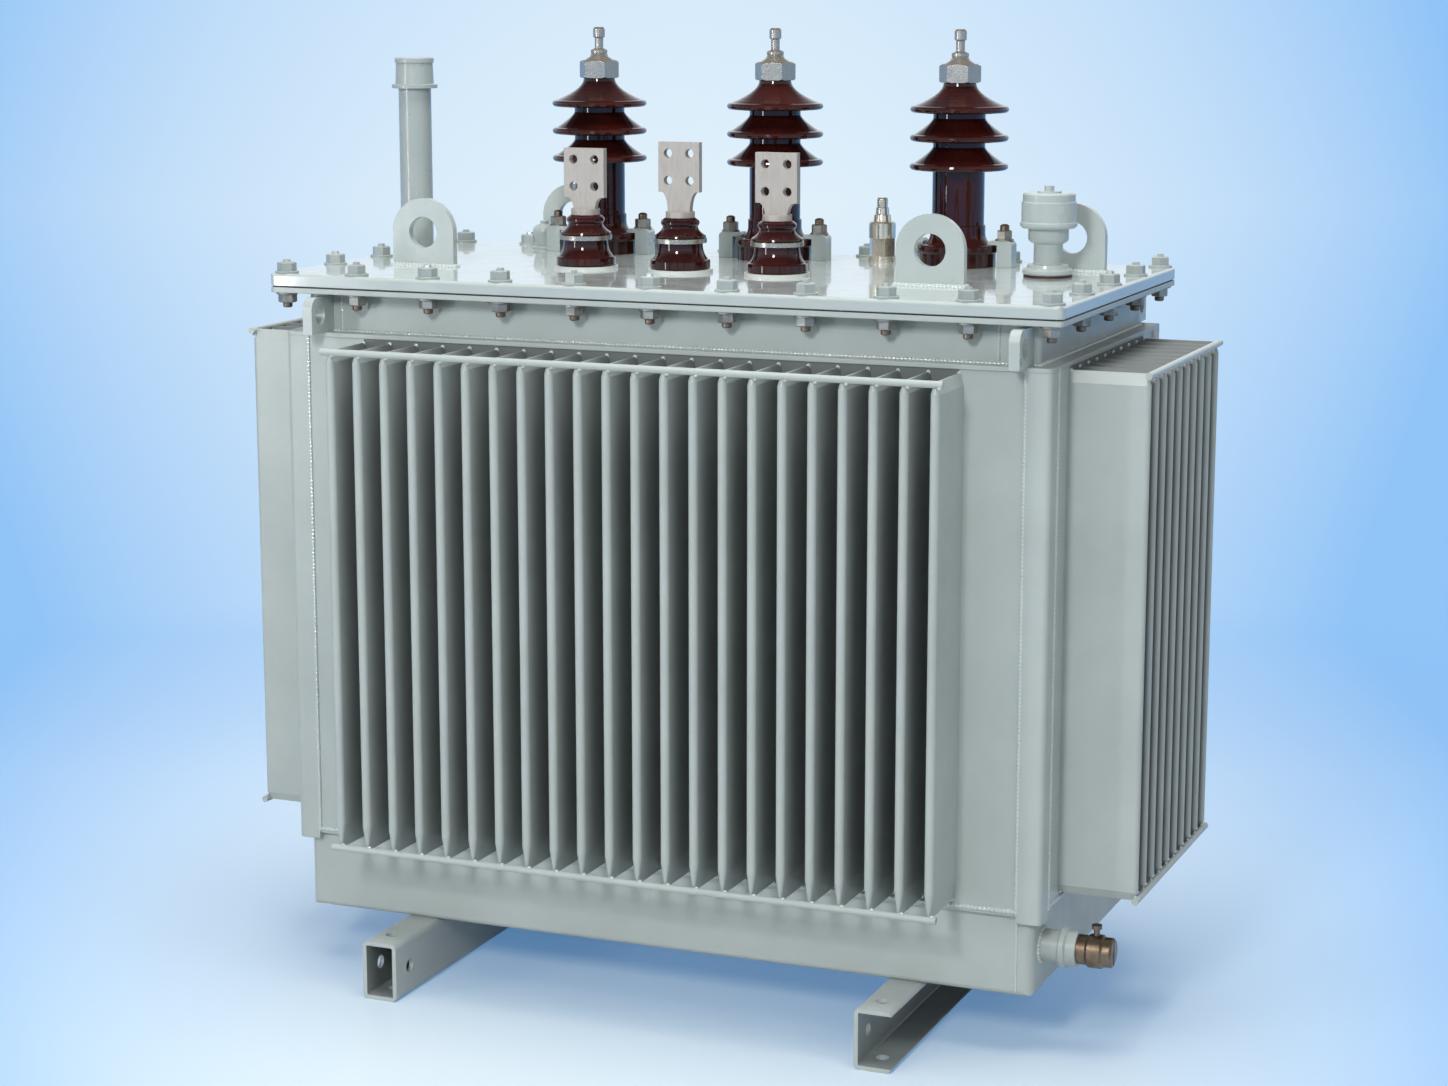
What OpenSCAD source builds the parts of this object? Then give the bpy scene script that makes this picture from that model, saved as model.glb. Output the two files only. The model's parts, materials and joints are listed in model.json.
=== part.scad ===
// Oil-immersed distribution transformer with a corrugated tank.
// Millimetres, +Z up. Origin on the floor, midway between the two skid rails.
// The front, with the low-voltage flags, faces -Y. +X runs along the tank.

/* [Skid rails] */
// Height of each skid rail
rail_h = 80; // [60:1:120]
// Width of each skid rail
rail_w = 50; // [40:1:70]
// Length of each skid rail, front to rear
rail_len = 746; // [640:1:900]
// Distance between the centre lines of the rails
rail_gauge = 696; // [520:1:820]
// Wall thickness of the rails
rail_wall = 6; // [4:0.5:10]
// Outside corner radius of the rails
rail_r = 8; // [7:0.5:12]
// Diameter of the anchor holes in the rails
rail_hole_d = 18; // [12:1:24]
// Distance of the anchor holes from the end of a rail
rail_hole_in = 38; // [25:1:60]

/* [Tank bottom] */
// Length of the bottom trough
trough_len = 1036; // [900:1:1300]
// Width of the bottom trough
trough_wid = 508; // [420:1:620]
// Height of the bottom trough with its rim
trough_h = 112; // [80:1:160]
// Thickness of the trough's walls and rim
trough_wall = 6; // [4:0.5:10]
// Thickness of the trough's floor
trough_floor = 8; // [5:0.5:12]
// Radius of the trough's upright corners
trough_r = 12; // [10:1:30]
// Radius of the trough's bottom edges
trough_edge_r = 7; // [2:0.5:10]

/* [Corrugated walls] */
// Height of the corrugated walls
wall_h = 680; // [500:1:900]
// Thickness of the wall sheet
sheet_t = 6; // [3:0.5:8]
// How far the end walls stand outside the trough
end_step = 10; // [4:0.5:16]
// How far the long walls stand outside the trough
side_step = 8; // [4:0.5:14]
// Distance between neighbouring fins
fin_pitch = 39.3; // [32:0.1:60]
// Thickness of a fin
fin_t = 12; // [8:0.5:18]
// Depth of the fins on the long walls
long_fin_depth = 96; // [60:1:160]
// Depth of the fins on the end walls
end_fin_depth = 103; // [60:1:160]
// Gap between the wall's lower edge and the fins
fin_low_gap = 7; // [5:1:30]
// Gap between the wall's upper edge and the fins
fin_high_gap = 5; // [4:1:30]
// Length of the pinched upper end of a fin
pinch_top = 15; // [12:1:40]
// Length of the pinched lower end of a fin on the long walls
pinch_low = 32; // [15:1:60]
// Length of the pinched lower end of a fin on the end walls
end_pinch_low = 11; // [10:1:60]
// Thickness of the pinched edge of a fin
pinch_t = 3; // [2:0.5:5]
// Least flat width left beside the outermost fins of a long wall
long_flat = 70; // [30:1:120]
// Least flat width left beside the outermost fins of an end wall
end_flat = 44; // [30:1:80]
// Diameter of the rods along the fin tips
rod_d = 9; // [6:0.5:12]
// How far a rod runs past the outermost fins
rod_over = 5; // [2:1:15]
// Width of a corner post's face
post_w = 33; // [24:1:50]
// How far the corner posts stand proud of the walls
post_proud = 2; // [0.5:0.5:5]
// How far the corner posts reach down past the trough's rim
post_drop = 14; // [8:1:30]

/* [Collar and cover] */
// Height of the collar above its ledge
collar_h = 52; // [40:1:80]
// Thickness of the collar's wall and ledge
collar_t = 6; // [4:0.5:10]
// Distance from the end walls in to the collar
collar_in_x = 20; // [12:1:45]
// Distance from the long walls in to the collar
collar_in_y = 21; // [12:1:40]
// Distance from the collar out to the edge of the cover, at the ends
cover_out_x = 38; // [36:1:70]
// Distance from the collar out to the edge of the cover, at the long sides
cover_out_y = 36; // [34:1:70]
// Thickness of the tank flange
flange_t = 7; // [5:0.5:12]
// Thickness of the cover gasket
gasket_t = 2; // [1:0.5:4]
// Thickness of the cover plate
cover_t = 16; // [8:0.5:20]
// Corner radius of the cover and the flange
cover_r = 8; // [6:1:20]
// Radius of the cover's upper edges
cover_edge_r = 4; // [1:0.5:5]
// How far the gasket stays inside the flange's edge
gasket_in = 2; // [1:0.5:6]

/* [Lifting] */
// Width of a lifting lug
lug_w = 92; // [60:1:110]
// Height of a lifting lug
lug_h = 92; // [70:1:120]
// Thickness of a lifting lug
lug_t = 11; // [8:0.5:18]
// Diameter of the eye in a lifting lug
lug_hole_d = 42; // [25:1:48]
// Distance of the left front lug from the left edge of the cover
lug_fl_in = 143; // [110:1:220]
// Distance of the right front lug from the right edge of the cover
lug_fr_in = 224; // [170:1:260]
// Distance of the right rear lug from the right edge of the cover
lug_rr_in = 110; // [85:1:130]
// Distance of the front lugs from the front edge of the cover
lug_front_in = 173; // [120:1:190]
// Distance of the left rear lug out past the shoulder of the porcelain beside it
lug_gap = 14; // [10:1:20]
// Thickness of a lashing eye
lash_t = 14; // [8:1:20]
// Reach of a lashing eye from the collar
lash_reach = 58; // [52:1:80]
// Height of a lashing eye
lash_h = 48; // [40:1:50]
// Diameter of the hole in a lashing eye
lash_hole_d = 25; // [16:1:28]
// Distance of the hole in a lashing eye from its outer edge
lash_hole_in = 22; // [20:1:26]
// Radius of a lashing eye's upper corner
lash_r = 15; // [4:1:18]
// Distance of the lashing eyes from the ends of the collar
lash_in = 32; // [20:1:60]
// How much nearer to the collar's end the right lashing eyes stand
lash_right_step = 17; // [0:1:18]

/* [High-voltage bushings] */
// Distance between high-voltage bushings
hv_pitch = 268; // [220:1:300]
// Distance of the high-voltage row's middle to the right
hv_x = -2; // [-20:1:20]
// Distance of the high-voltage row behind the middle of the cover
hv_y = 178; // [140:1:182]
// Diameter of the porcelain foot
hv_foot_d = 104; // [80:1:110]
// Height of the porcelain foot
hv_foot_h = 18; // [12:1:30]
// Diameter of the clamping shoulder
hv_shoulder_d = 112; // [106:1:118]
// Thickness of the clamping shoulder
hv_shoulder_t = 12; // [8:1:18]
// Diameter of the porcelain barrel
hv_body_d = 71; // [60:1:78]
// Diameter of the sheds
hv_shed_d = 134; // [100:1:160]
// Thickness of a shed's rim
hv_rim_t = 9; // [6:0.5:16]
// Distance between sheds
hv_shed_pitch = 38.5; // [34:0.5:50]
// Height of the lowest shed above the cover
hv_shed_z = 130; // [90:1:180]
// Height of the flare above each of the lower sheds
hv_flare_h = 22; // [10:1:24]
// Height of the flare above the top shed
hv_top_flare_h = 31; // [18:1:40]
// Diameter of the porcelain neck under the nut
hv_neck_d = 44; // [34:1:50]
// Width of the terminal nut across its corners
hv_nut_d = 57; // [44:1:62]
// Height of the terminal nut
hv_nut_h = 25; // [16:1:30]
// Diameter of the terminal stud
hv_stud_d = 12; // [8:1:16]
// Diameter of the knob at the stud's tip
hv_tip_d = 16.5; // [13:0.5:24]
// Height of the terminal above its nut
hv_stud_h = 46; // [36:1:60]
// Width of a clamp
clamp_w = 23; // [18:1:36]
// Length of a clamp's foot
clamp_foot = 21; // [15:1:30]
// Length of the clamp's lip on the shoulder
clamp_lip = 10; // [6:1:12]
// Thickness of a clamp's arm
clamp_arm_t = 6; // [5:1:14]
// Gap between a clamp's foot and the shoulder
clamp_gap = 3; // [1:0.5:6]

/* [Low-voltage bushings] */
// Distance between low-voltage bushings
lv_pitch = 139; // [110:1:150]
// Distance of the low-voltage row behind the middle of the cover
lv_y = -45; // [-60:1:20]
// Distance of the low-voltage row's middle to the right
lv_x = -50; // [-90:1:20]
// Diameter of the base ring
lv_base_d = 87; // [82:1:100]
// Thickness of the base ring
lv_base_t = 4; // [3:0.5:12]
// Diameter of the lower porcelain's foot
lv_foot_d = 80; // [66:1:84]
// Height of the lower porcelain's foot
lv_foot_h = 13; // [8:1:18]
// Height of the lower porcelain
lv_low_h = 35; // [28:1:50]
// Diameter of the lower porcelain's top
lv_waist_d = 60; // [50:1:64]
// Diameter of the metal ring between the porcelains
lv_ring_d = 71; // [60:1:76]
// Thickness of the metal ring between the porcelains
lv_ring_t = 6; // [4:0.5:10]
// Height of the upper porcelain
lv_up_h = 27; // [20:1:40]
// Diameter of the upper porcelain's bulge
lv_bulge_d = 69; // [52:1:72]
// Diameter of the upper porcelain's top
lv_top_d = 41; // [38:1:48]
// Diameter of the metal collar under the flag
lv_collar_d = 39; // [34:1:40]
// Height of the metal collar under the flag
lv_collar_h = 8; // [5:1:14]
// Length of the flag's stem
lv_stem_h = 15; // [14:1:40]
// Extra stem length of the middle flag
lv_mid_rise = 11; // [0:1:25]
// Width of the flag's stem
lv_stem_w = 32; // [22:1:33]
// Width of a flag
lv_flag_w = 59; // [46:1:70]
// Height of a flag
lv_flag_h = 66; // [54:1:80]
// Thickness of a flag
lv_flag_t = 10; // [6:0.5:14]
// Diameter of the bolt holes in a flag
lv_hole_d = 12; // [8:0.5:14]
// Distance between the bolt holes across a flag
lv_hole_x = 31; // [22:1:34]
// Distance between the bolt holes up a flag
lv_hole_z = 36; // [26:1:38]

/* [Cover fittings] */
// Diameter of the filler pipe
pipe_d = 45; // [30:1:54]
// Length of the filler pipe
pipe_h = 236; // [150:1:280]
// Diameter of the filler pipe's foot ring
pipe_foot_d = 60; // [56:1:64]
// Thickness of the filler pipe's foot ring
pipe_foot_t = 4; // [2:0.5:8]
// Distance of the filler pipe from the left edge of the cover
pipe_in = 78; // [72:1:110]
// Distance of the filler pipe behind the middle of the cover
pipe_y = -4; // [-20:1:60]
// Diameter of the filler flange
filler_flange_d = 63; // [58:1:80]
// Thickness of the filler flange
filler_flange_t = 5; // [3:1:10]
// Diameter of the filler cap
filler_cap_d = 54; // [40:1:58]
// Height of the filler cap
filler_cap_h = 37; // [24:1:50]
// Distance of the tap changer from the right edge of the cover
tap_in = 122; // [100:1:140]
// Distance of the tap changer behind the middle of the cover
tap_y = 75; // [40:1:80]
// Diameter of the tap changer's gasket
tap_gasket_d = 64; // [50:1:70]
// Thickness of the tap changer's gasket
tap_gasket_t = 3; // [1:0.5:5]
// Diameter of the tap changer's foot flange
tap_base_d = 67; // [58:1:80]
// Thickness of the tap changer's foot flange
tap_base_t = 8; // [5:1:14]
// Diameter of the tap changer's neck
tap_neck_d = 38; // [28:1:48]
// Height of the tap changer's neck above its foot flange
tap_neck_h = 34; // [24:1:50]
// Diameter of the tap changer's seat under the cap
tap_seat_d = 53; // [50:1:60]
// Height of the tap changer's seat under the cap
tap_seat_h = 19; // [10:1:28]
// Diameter of the tap changer's cap
tap_cap_d = 75; // [66:1:90]
// Height of the tap changer's cap
tap_cap_h = 46; // [34:1:60]
// Diameter of the disc on the tap changer's cap
tap_disc_d = 32; // [24:1:44]
// Distance of the relief valve to the right of the gap's middle between two high-voltage bushings
relief_x_off = 18; // [0:1:30]
// Distance of the relief valve behind the high-voltage row
relief_y_off = 20; // [0:1:26]
// Diameter of the relief valve's foot
relief_foot_d = 42; // [38:1:48]
// Diameter of the relief valve's body
relief_body_d = 37; // [28:1:40]
// Height of the relief valve
relief_h = 88; // [60:1:110]
// Gap between the thermometer pocket and the clamp beside it
pocket_gap = 3; // [2:0.5:10]
// Distance of the thermometer pocket behind the high-voltage row
pocket_y_off = 26; // [0:1:30]
// Diameter of the thermometer pocket's head
pocket_d = 33; // [24:1:40]
// Height of the thermometer pocket's head
pocket_h = 40; // [28:1:60]

/* [Drain] */
// Height of the drain's axis above the floor of the trough
drain_z = 58; // [40:1:80]
// Distance of the drain's axis from the front of the trough
drain_y_in = 42; // [34:1:120]
// Diameter of the drain's stub pipe
drain_stub_d = 42; // [30:1:44]
// Length of the drain's stub pipe with its collar
drain_stub_len = 48; // [40:1:60]
// Diameter of the drain's collar
drain_collar_d = 52; // [48:1:64]
// Length of the drain's collar
drain_collar_len = 23; // [16:1:30]
// Diameter of the drain valve's body
drain_body_d = 43; // [36:1:46]
// Diameter of the vent screw's head on the drain valve
vent_d = 13; // [8:0.5:16]
// Height of the vent screw on the drain valve
vent_h = 13; // [8:1:20]
// Length of the drain valve with its plug
drain_valve_len = 45; // [36:1:56]

/* [Hidden] */
$fn = 48;
eps = 0.01;

// Heights of the stack, from the floor up
trough_z = rail_h;
wall_z = trough_z + trough_h;
ledge_z = wall_z + wall_h;
collar_z = ledge_z + collar_t;
flange_z = collar_z + collar_h;
gasket_z = flange_z + flange_t;
cover_z = gasket_z + gasket_t;
top_z = cover_z + cover_t;

// Half sizes of the tank in plan
wall_x = trough_len / 2 + end_step;
wall_y = trough_wid / 2 + side_step;
post_x = wall_x + post_proud;
post_y = wall_y + post_proud;
collar_x = wall_x - collar_in_x;
collar_y = wall_y - collar_in_y;
cover_x = collar_x + cover_out_x;
cover_y = collar_y + cover_out_y;
sheet_in = sheet_t + post_proud;

// Fin rows
fin_z0 = wall_z + fin_low_gap;
fin_z1 = ledge_z - fin_high_gap;
long_half = post_x - post_w;
end_half = post_y - post_w;
long_fins = floor((2 * long_half - 2 * long_flat) / fin_pitch) + 1;
end_fins = floor((2 * end_half - 2 * end_flat) / fin_pitch) + 1;
rod_in = 1;
pocket_foot_r = pocket_d / 2 + 2;
rod_z0 = fin_z0 + 1;
rod_z1 = fin_z1 - rod_d / 4;

// Places of the fittings on the cover
hv_xs = [for (i = [-1:1]) hv_x + i * hv_pitch];
lv_xs = [for (i = [-1:1]) lv_x + i * lv_pitch];
clamp_out = hv_shoulder_d / 2 + clamp_gap + clamp_foot;
pipe_at = [pipe_in - cover_x, pipe_y];
tap_at = [cover_x - tap_in, tap_y];
lug_fl = [lug_fl_in - cover_x, lug_front_in - cover_y];
lug_fr = [cover_x - lug_fr_in, lug_front_in - cover_y];
lug_rl = [hv_xs[0] - hv_shoulder_d / 2 - lug_gap, hv_y + hv_shoulder_d / 2 + lug_gap / 6];
lug_rr = [cover_x - lug_rr_in, tap_y + tap_cap_d];
relief_at = [hv_x + hv_pitch / 2 + relief_x_off, hv_y + relief_y_off];
pocket_at = [hv_xs[0] - clamp_out - pocket_gap - pocket_foot_r, hv_y + pocket_y_off];

// Heights inside a high-voltage bushing
hv_lip_z = hv_foot_h + hv_shoulder_t;
hv_top_rim = hv_shed_z + 2 * hv_shed_pitch + hv_rim_t;
hv_por_h = hv_top_rim + hv_top_flare_h;

// Heights inside the tap changer
tap_seat_z = tap_gasket_t + tap_base_t + tap_neck_h;
tap_cap_z = tap_seat_z + tap_seat_h;

// Heights inside a low-voltage bushing
lv_ring_z = lv_base_t + lv_low_h;
lv_up_z = lv_ring_z + lv_ring_t;
lv_collar_z = lv_up_z + lv_up_h;
lv_stem_z = lv_collar_z + lv_collar_h;

// Drain axis
drain_x = trough_len / 2;
drain_at = [drain_x, -trough_wid / 2 + drain_y_in, trough_z + drain_z];

paint = [0.66, 0.71, 0.69];
porcelain = [0.22, 0.07, 0.05];
tin = [0.75, 0.73, 0.70];
brass = [0.62, 0.50, 0.30];
zinc = [0.70, 0.71, 0.72];

// Concave flare that rises from radius r0 at height z to radius r1, h higher
function flare(r0, r1, z, h, n = 6) =
  [for (i = [0:n]) let (a = 90 * i / n) [r1 + (r0 - r1) * (1 - sin(a)), z + h * (1 - cos(a))]];

// Half-round rim of radius r and thickness t with its underside at height z
function rim(r, z, t, n = 6) =
  [for (i = [0:n]) let (a = -90 + 180 * i / n) [r - t / 2 + t / 2 * cos(a), z + t / 2 + t / 2 * sin(a)]];

// Hollowed slope from radius r0 at height z up to radius r1, more hollow for a larger bend
function slope(r0, r1, z, h, bend, n = 7) =
  [for (i = [0:n]) let (t = i / n) [r1 + (r0 - r1) * pow(1 - t, bend), z + h * t]];

// Shed with its underside at height z, on a body of radius rb, sloping back to radius rt
function shed(z, rb, rt, h, bend) = concat(
  [[rb, z + 3]],
  rim(hv_shed_d / 2, z, hv_rim_t),
  slope(hv_shed_d / 2 - hv_rim_t / 2 - 2, rt, z + hv_rim_t + 0.5, h - 0.5, bend)
);

// Rectangle with round corners, centred
module rrect(w, d, r) {
  square([w - 2 * r, d], center = true);
  square([w, d - 2 * r], center = true);
  for (x = [-1, 1], y = [-1, 1]) translate([x * (w / 2 - r), y * (d / 2 - r)]) circle(r);
}

// Rectangular ring with round outside corners
module ring2d(xo, yo, xi, yi, r, ri) {
  difference() {
    rrect(2 * xo, 2 * yo, r);
    rrect(2 * xi, 2 * yi, ri);
  }
}

// Anchor holes through a rail at its two ends
module rail_holes(x) {
  for (s = [-1, 1]) translate([x, s * (rail_len / 2 - rail_hole_in), rail_h / 2]) {
    cylinder(d = rail_hole_d, h = 2 * rail_h, center = true);
    rotate([0, 90, 0]) cylinder(d = rail_hole_d, h = 2 * rail_w, center = true);
  }
}

module rail_section() {
  translate([0, rail_h / 2]) rrect(rail_w, rail_h, rail_r);
}

module rail_space() {
  translate([0, rail_h / 2]) rrect(rail_w - 2 * rail_wall, rail_h - 2 * rail_wall, rail_r - rail_wall);
}

// Closed rectangular tube, open at its ends
module left_skid_rail() {
  color(paint) difference() {
    translate([-rail_gauge / 2, rail_len / 2, 0]) rotate([90, 0, 0]) linear_extrude(rail_len) difference() {
      rail_section();
      rail_space();
    }
    rail_holes(-rail_gauge / 2);
  }
}

// Channel, open towards +X
module right_skid_rail() {
  color(paint) difference() {
    translate([rail_gauge / 2, rail_len / 2, 0]) rotate([90, 0, 0]) linear_extrude(rail_len) difference() {
      rail_section();
      rail_space();
      translate([0, rail_wall]) square([rail_w, rail_h - 2 * rail_wall]);
    }
    rail_holes(rail_gauge / 2);
  }
}

// Outline w wide and h high, centred on the x axis, with its two lower corners rounded
module round_foot(w, h, r) {
  translate([-w / 2, r]) square([w, h - r]);
  translate([r - w / 2, 0]) square([w - 2 * r, h]);
  for (x = [-1, 1]) translate([x * (w / 2 - r), r]) circle(r);
}

// Block of w by d by h with round upright corners, and its lower edges rounded too
module round_block(w, d, h, r, edge_r) {
  intersection() {
    linear_extrude(h) rrect(w, d, r);
    translate([0, d, 0]) rotate([90, 0, 0]) linear_extrude(2 * d) round_foot(w, h, edge_r);
    translate([-w, 0, 0]) rotate([90, 0, 90]) linear_extrude(2 * w) round_foot(d, h, edge_r);
  }
}

// Plan of the four folded corner posts
module posts_plan() {
  difference() {
    rrect(2 * post_x, 2 * post_y, sheet_in);
    square([2 * (post_x - sheet_in), 2 * (post_y - sheet_in)], center = true);
    square([2 * long_half, 3 * post_y], center = true);
    square([3 * post_x, 2 * end_half], center = true);
  }
}

// Welded pan with a flat rim that carries the walls and is notched for the posts
module bottom_trough() {
  ix = trough_len / 2 - trough_wall;
  iy = trough_wid / 2 - trough_wall;
  color(paint) translate([0, 0, trough_z]) difference() {
    union() {
      round_block(trough_len, trough_wid, trough_h, trough_r, trough_edge_r);
      translate([0, 0, trough_h - trough_wall]) linear_extrude(trough_wall) difference() {
        rrect(2 * wall_x, 2 * wall_y, sheet_t);
        posts_plan();
      }
    }
    translate([0, 0, trough_floor]) linear_extrude(trough_h) rrect(2 * ix, 2 * iy, trough_r - trough_wall);
  }
}

// One cooling fin on a wall face at y = 0, pointing to -Y, pinched at both ends, with a round nose
module fin(depth, pinch) {
  r = fin_t / 2;
  e = pinch_t / 2;
  half = [[e, fin_z0], [r, fin_z0 + pinch], [r, fin_z1 - pinch_top], [e, fin_z1]];
  mirrored = [for (i = [3:-1:0]) [-half[i][0], half[i][1]]];
  rotate([90, 0, 0]) linear_extrude(depth - r) polygon(concat(half, mirrored));
  translate([0, r - depth, 0]) rotate([0, 0, 180]) rotate_extrude(angle = 180)
    polygon(concat([[0, fin_z0]], half, [[0, fin_z1]]));
}

// The two rods of a bank of n fins, on a wall whose face is at y = -face
module rods(n, face, depth) {
  len = (n - 1) * fin_pitch + fin_t + 2 * rod_over;
  for (z = [rod_z0, rod_z1]) translate([0, rod_in - face - depth, z]) rotate([0, 90, 0])
    cylinder(d = rod_d, h = len, center = true);
}

// Wall sheet with its row of fins, notched where the rods are let in
module corrugated_wall(n, half, face, depth, pinch) {
  difference() {
    union() {
      translate([-half, -face, wall_z]) cube([2 * half, sheet_t, wall_h]);
      for (i = [0:n - 1]) translate([(i - (n - 1) / 2) * fin_pitch, -face, 0]) fin(depth, pinch);
    }
    rods(n, face, depth);
  }
}

module front_corrugated_wall() {
  color(paint) corrugated_wall(long_fins, long_half, wall_y, long_fin_depth, pinch_low);
}

module rear_corrugated_wall() {
  color(paint) rotate([0, 0, 180]) corrugated_wall(long_fins, long_half, wall_y, long_fin_depth, pinch_low);
}

module left_corrugated_wall() {
  color(paint) rotate([0, 0, -90]) corrugated_wall(end_fins, end_half, wall_x, end_fin_depth, end_pinch_low);
}

module right_corrugated_wall() {
  color(paint) rotate([0, 0, 90]) corrugated_wall(end_fins, end_half, wall_x, end_fin_depth, end_pinch_low);
}

// Four folded angles that join the walls and lap over the trough's corners
module corner_posts() {
  color(paint) translate([0, 0, wall_z - post_drop]) linear_extrude(wall_h + post_drop) posts_plan();
}

module front_fin_rods() {
  color(paint) rods(long_fins, wall_y, long_fin_depth);
}

module rear_fin_rods() {
  color(paint) rotate([0, 0, 180]) rods(long_fins, wall_y, long_fin_depth);
}

module left_fin_rods() {
  color(paint) rotate([0, 0, -90]) rods(end_fins, wall_x, end_fin_depth);
}

module right_fin_rods() {
  color(paint) rotate([0, 0, 90]) rods(end_fins, wall_x, end_fin_depth);
}

// Flat ledge over the walls with the upright collar set back on it
module tank_collar() {
  ix = collar_x - collar_t;
  iy = collar_y - collar_t;
  color(paint) {
    translate([0, 0, ledge_z]) linear_extrude(collar_t) ring2d(post_x, post_y, ix, iy, sheet_in, 4);
    translate([0, 0, collar_z]) linear_extrude(collar_h) ring2d(collar_x, collar_y, ix, iy, 4 + collar_t, 4);
  }
}

module tank_flange() {
  color(paint) translate([0, 0, flange_z]) linear_extrude(flange_t)
    ring2d(cover_x, cover_y, collar_x - collar_t, collar_y - collar_t, cover_r, 4);
}

module cover_gasket() {
  color([0.12, 0.12, 0.12]) translate([0, 0, gasket_z]) linear_extrude(gasket_t)
    ring2d(cover_x - gasket_in, cover_y - gasket_in, collar_x - collar_t, collar_y - collar_t, cover_r, 4);
}

module cover_plate() {
  color(paint) translate([0, 0, top_z]) mirror([0, 0, 1])
    round_block(2 * cover_x, 2 * cover_y, cover_t, cover_r, cover_edge_r);
}

// Upright plate with an arched top and a round eye
module lifting_lug(at) {
  zc = lug_h - lug_w / 2;
  color(paint) translate([at[0], at[1] + lug_t / 2, top_z]) rotate([90, 0, 0]) linear_extrude(lug_t) difference() {
    union() {
      translate([-lug_w / 2, 0]) square([lug_w, zc]);
      translate([0, zc]) circle(d = lug_w, $fn = 96);
    }
    translate([0, zc]) circle(d = lug_hole_d);
  }
}

module front_left_lifting_lug() {
  lifting_lug(lug_fl);
}

module front_right_lifting_lug() {
  lifting_lug(lug_fr);
}

module rear_left_lifting_lug() {
  lifting_lug(lug_rl);
}

module rear_right_lifting_lug() {
  lifting_lug(lug_rr);
}

// Eye plate in the YZ plane, from the collar's face at y = 0 towards -Y, standing on the ledge
module lashing_eye() {
  rotate([90, 0, -90]) translate([0, 0, -lash_t / 2]) linear_extrude(lash_t) difference() {
    union() {
      square([lash_reach - lash_r, lash_h]);
      square([lash_reach, lash_h - lash_r]);
      translate([lash_reach - lash_r, lash_h - lash_r]) circle(lash_r);
    }
    translate([lash_reach - lash_hole_in, lash_h / 2]) circle(d = lash_hole_d);
  }
}

module lashing_eyes() {
  color(paint) for (x = [lash_in - collar_x, collar_x - lash_in + lash_right_step]) {
    translate([x, -collar_y, collar_z]) lashing_eye();
    translate([x, collar_y, collar_z]) rotate([0, 0, 180]) lashing_eye();
  }
}

// Turned porcelain with three sheds, a clamping shoulder and a foot
module hv_porcelain(x) {
  rb = hv_body_d / 2;
  rs = hv_shoulder_d / 2;
  lower = concat(
    [[0, 0], [hv_foot_d / 2, 0], [hv_foot_d / 2, hv_foot_h]],
    [for (a = [-90:30:0]) [rs - 4 + 4 * cos(a), hv_foot_h + 4 + 4 * sin(a)]],
    [for (a = [0:30:90]) [rs - 4 + 4 * cos(a), hv_lip_z - 4 + 4 * sin(a)]],
    slope(rb + 9, rb + 2, hv_lip_z, 15, 2.2),
    [[rb + 2, hv_lip_z + 25], [rb + 1, hv_lip_z + 26], [rb, hv_lip_z + 26]]
  );
  sheds = concat(
    shed(hv_shed_z, rb, rb, hv_flare_h, 1.35),
    shed(hv_shed_z + hv_shed_pitch, rb, rb, hv_flare_h, 1.35),
    shed(hv_shed_z + 2 * hv_shed_pitch, rb, hv_neck_d / 2, hv_top_flare_h, 2)
  );
  color(porcelain) translate([x, hv_y, top_z]) rotate_extrude($fn = 96)
    polygon(concat(lower, sheds, [[0, hv_por_h]]));
}

module hv_porcelain_left() {
  hv_porcelain(hv_xs[0]);
}

module hv_porcelain_middle() {
  hv_porcelain(hv_xs[1]);
}

module hv_porcelain_right() {
  hv_porcelain(hv_xs[2]);
}

// Hexagonal cap nut with chamfered corners, a cone, a stud and a knob
module hv_terminal(x) {
  h = hv_stud_h;
  rn = hv_nut_d / 2;
  rk = hv_tip_d / 2;
  color(tin) translate([x, hv_y, top_z + hv_por_h]) {
    intersection() {
      rotate([0, 0, 10]) cylinder(d = hv_nut_d, h = hv_nut_h, $fn = 6);
      rotate_extrude($fn = 96) polygon([
        [0, -1], [rn - 4, -1], [rn + 2, 3], [rn + 2, hv_nut_h - 4], [rn - 7, hv_nut_h + 1], [0, hv_nut_h + 1]
      ]);
    }
    translate([0, 0, hv_nut_h]) rotate_extrude() polygon([
      [0, 0], [rn - 8, 0], [rk + 5, h * 0.1], [rk + 3, h * 0.2], [rk + 3.5, h * 0.22], [rk + 3.5, h * 0.3],
      [rk + 2, h * 0.32], [hv_stud_d / 2, h * 0.36], [hv_stud_d / 2, h * 0.66],
      [rk, h * 0.7], [rk, h * 0.94], [rk - 2, h], [0, h]
    ]);
  }
}

module hv_terminal_left() {
  hv_terminal(hv_xs[0]);
}

module hv_terminal_middle() {
  hv_terminal(hv_xs[1]);
}

module hv_terminal_right() {
  hv_terminal(hv_xs[2]);
}

// Cast dog: foot on the cover, lip on the porcelain's shoulder, rounded back
module hv_clamp() {
  r0 = hv_shoulder_d / 2 + clamp_gap;
  lip = hv_shoulder_d / 2 - clamp_lip;
  z1 = hv_lip_z + clamp_arm_t;
  rr = clamp_arm_t;
  back = [for (a = [0:15:90]) [clamp_out - rr + rr * cos(a), z1 - rr + rr * sin(a)]];
  translate([0, clamp_w / 2, 0]) rotate([90, 0, 0]) linear_extrude(clamp_w) polygon(concat(
    [[r0, 0], [clamp_out, 0]], back, [[lip + 3, z1], [lip, z1 - 3], [lip, hv_lip_z], [r0, hv_lip_z]]
  ));
}

module hv_clamps() {
  color(zinc) for (x = hv_xs, a = [0, 180]) translate([x, hv_y, top_z]) rotate([0, 0, a]) hv_clamp();
}

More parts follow.
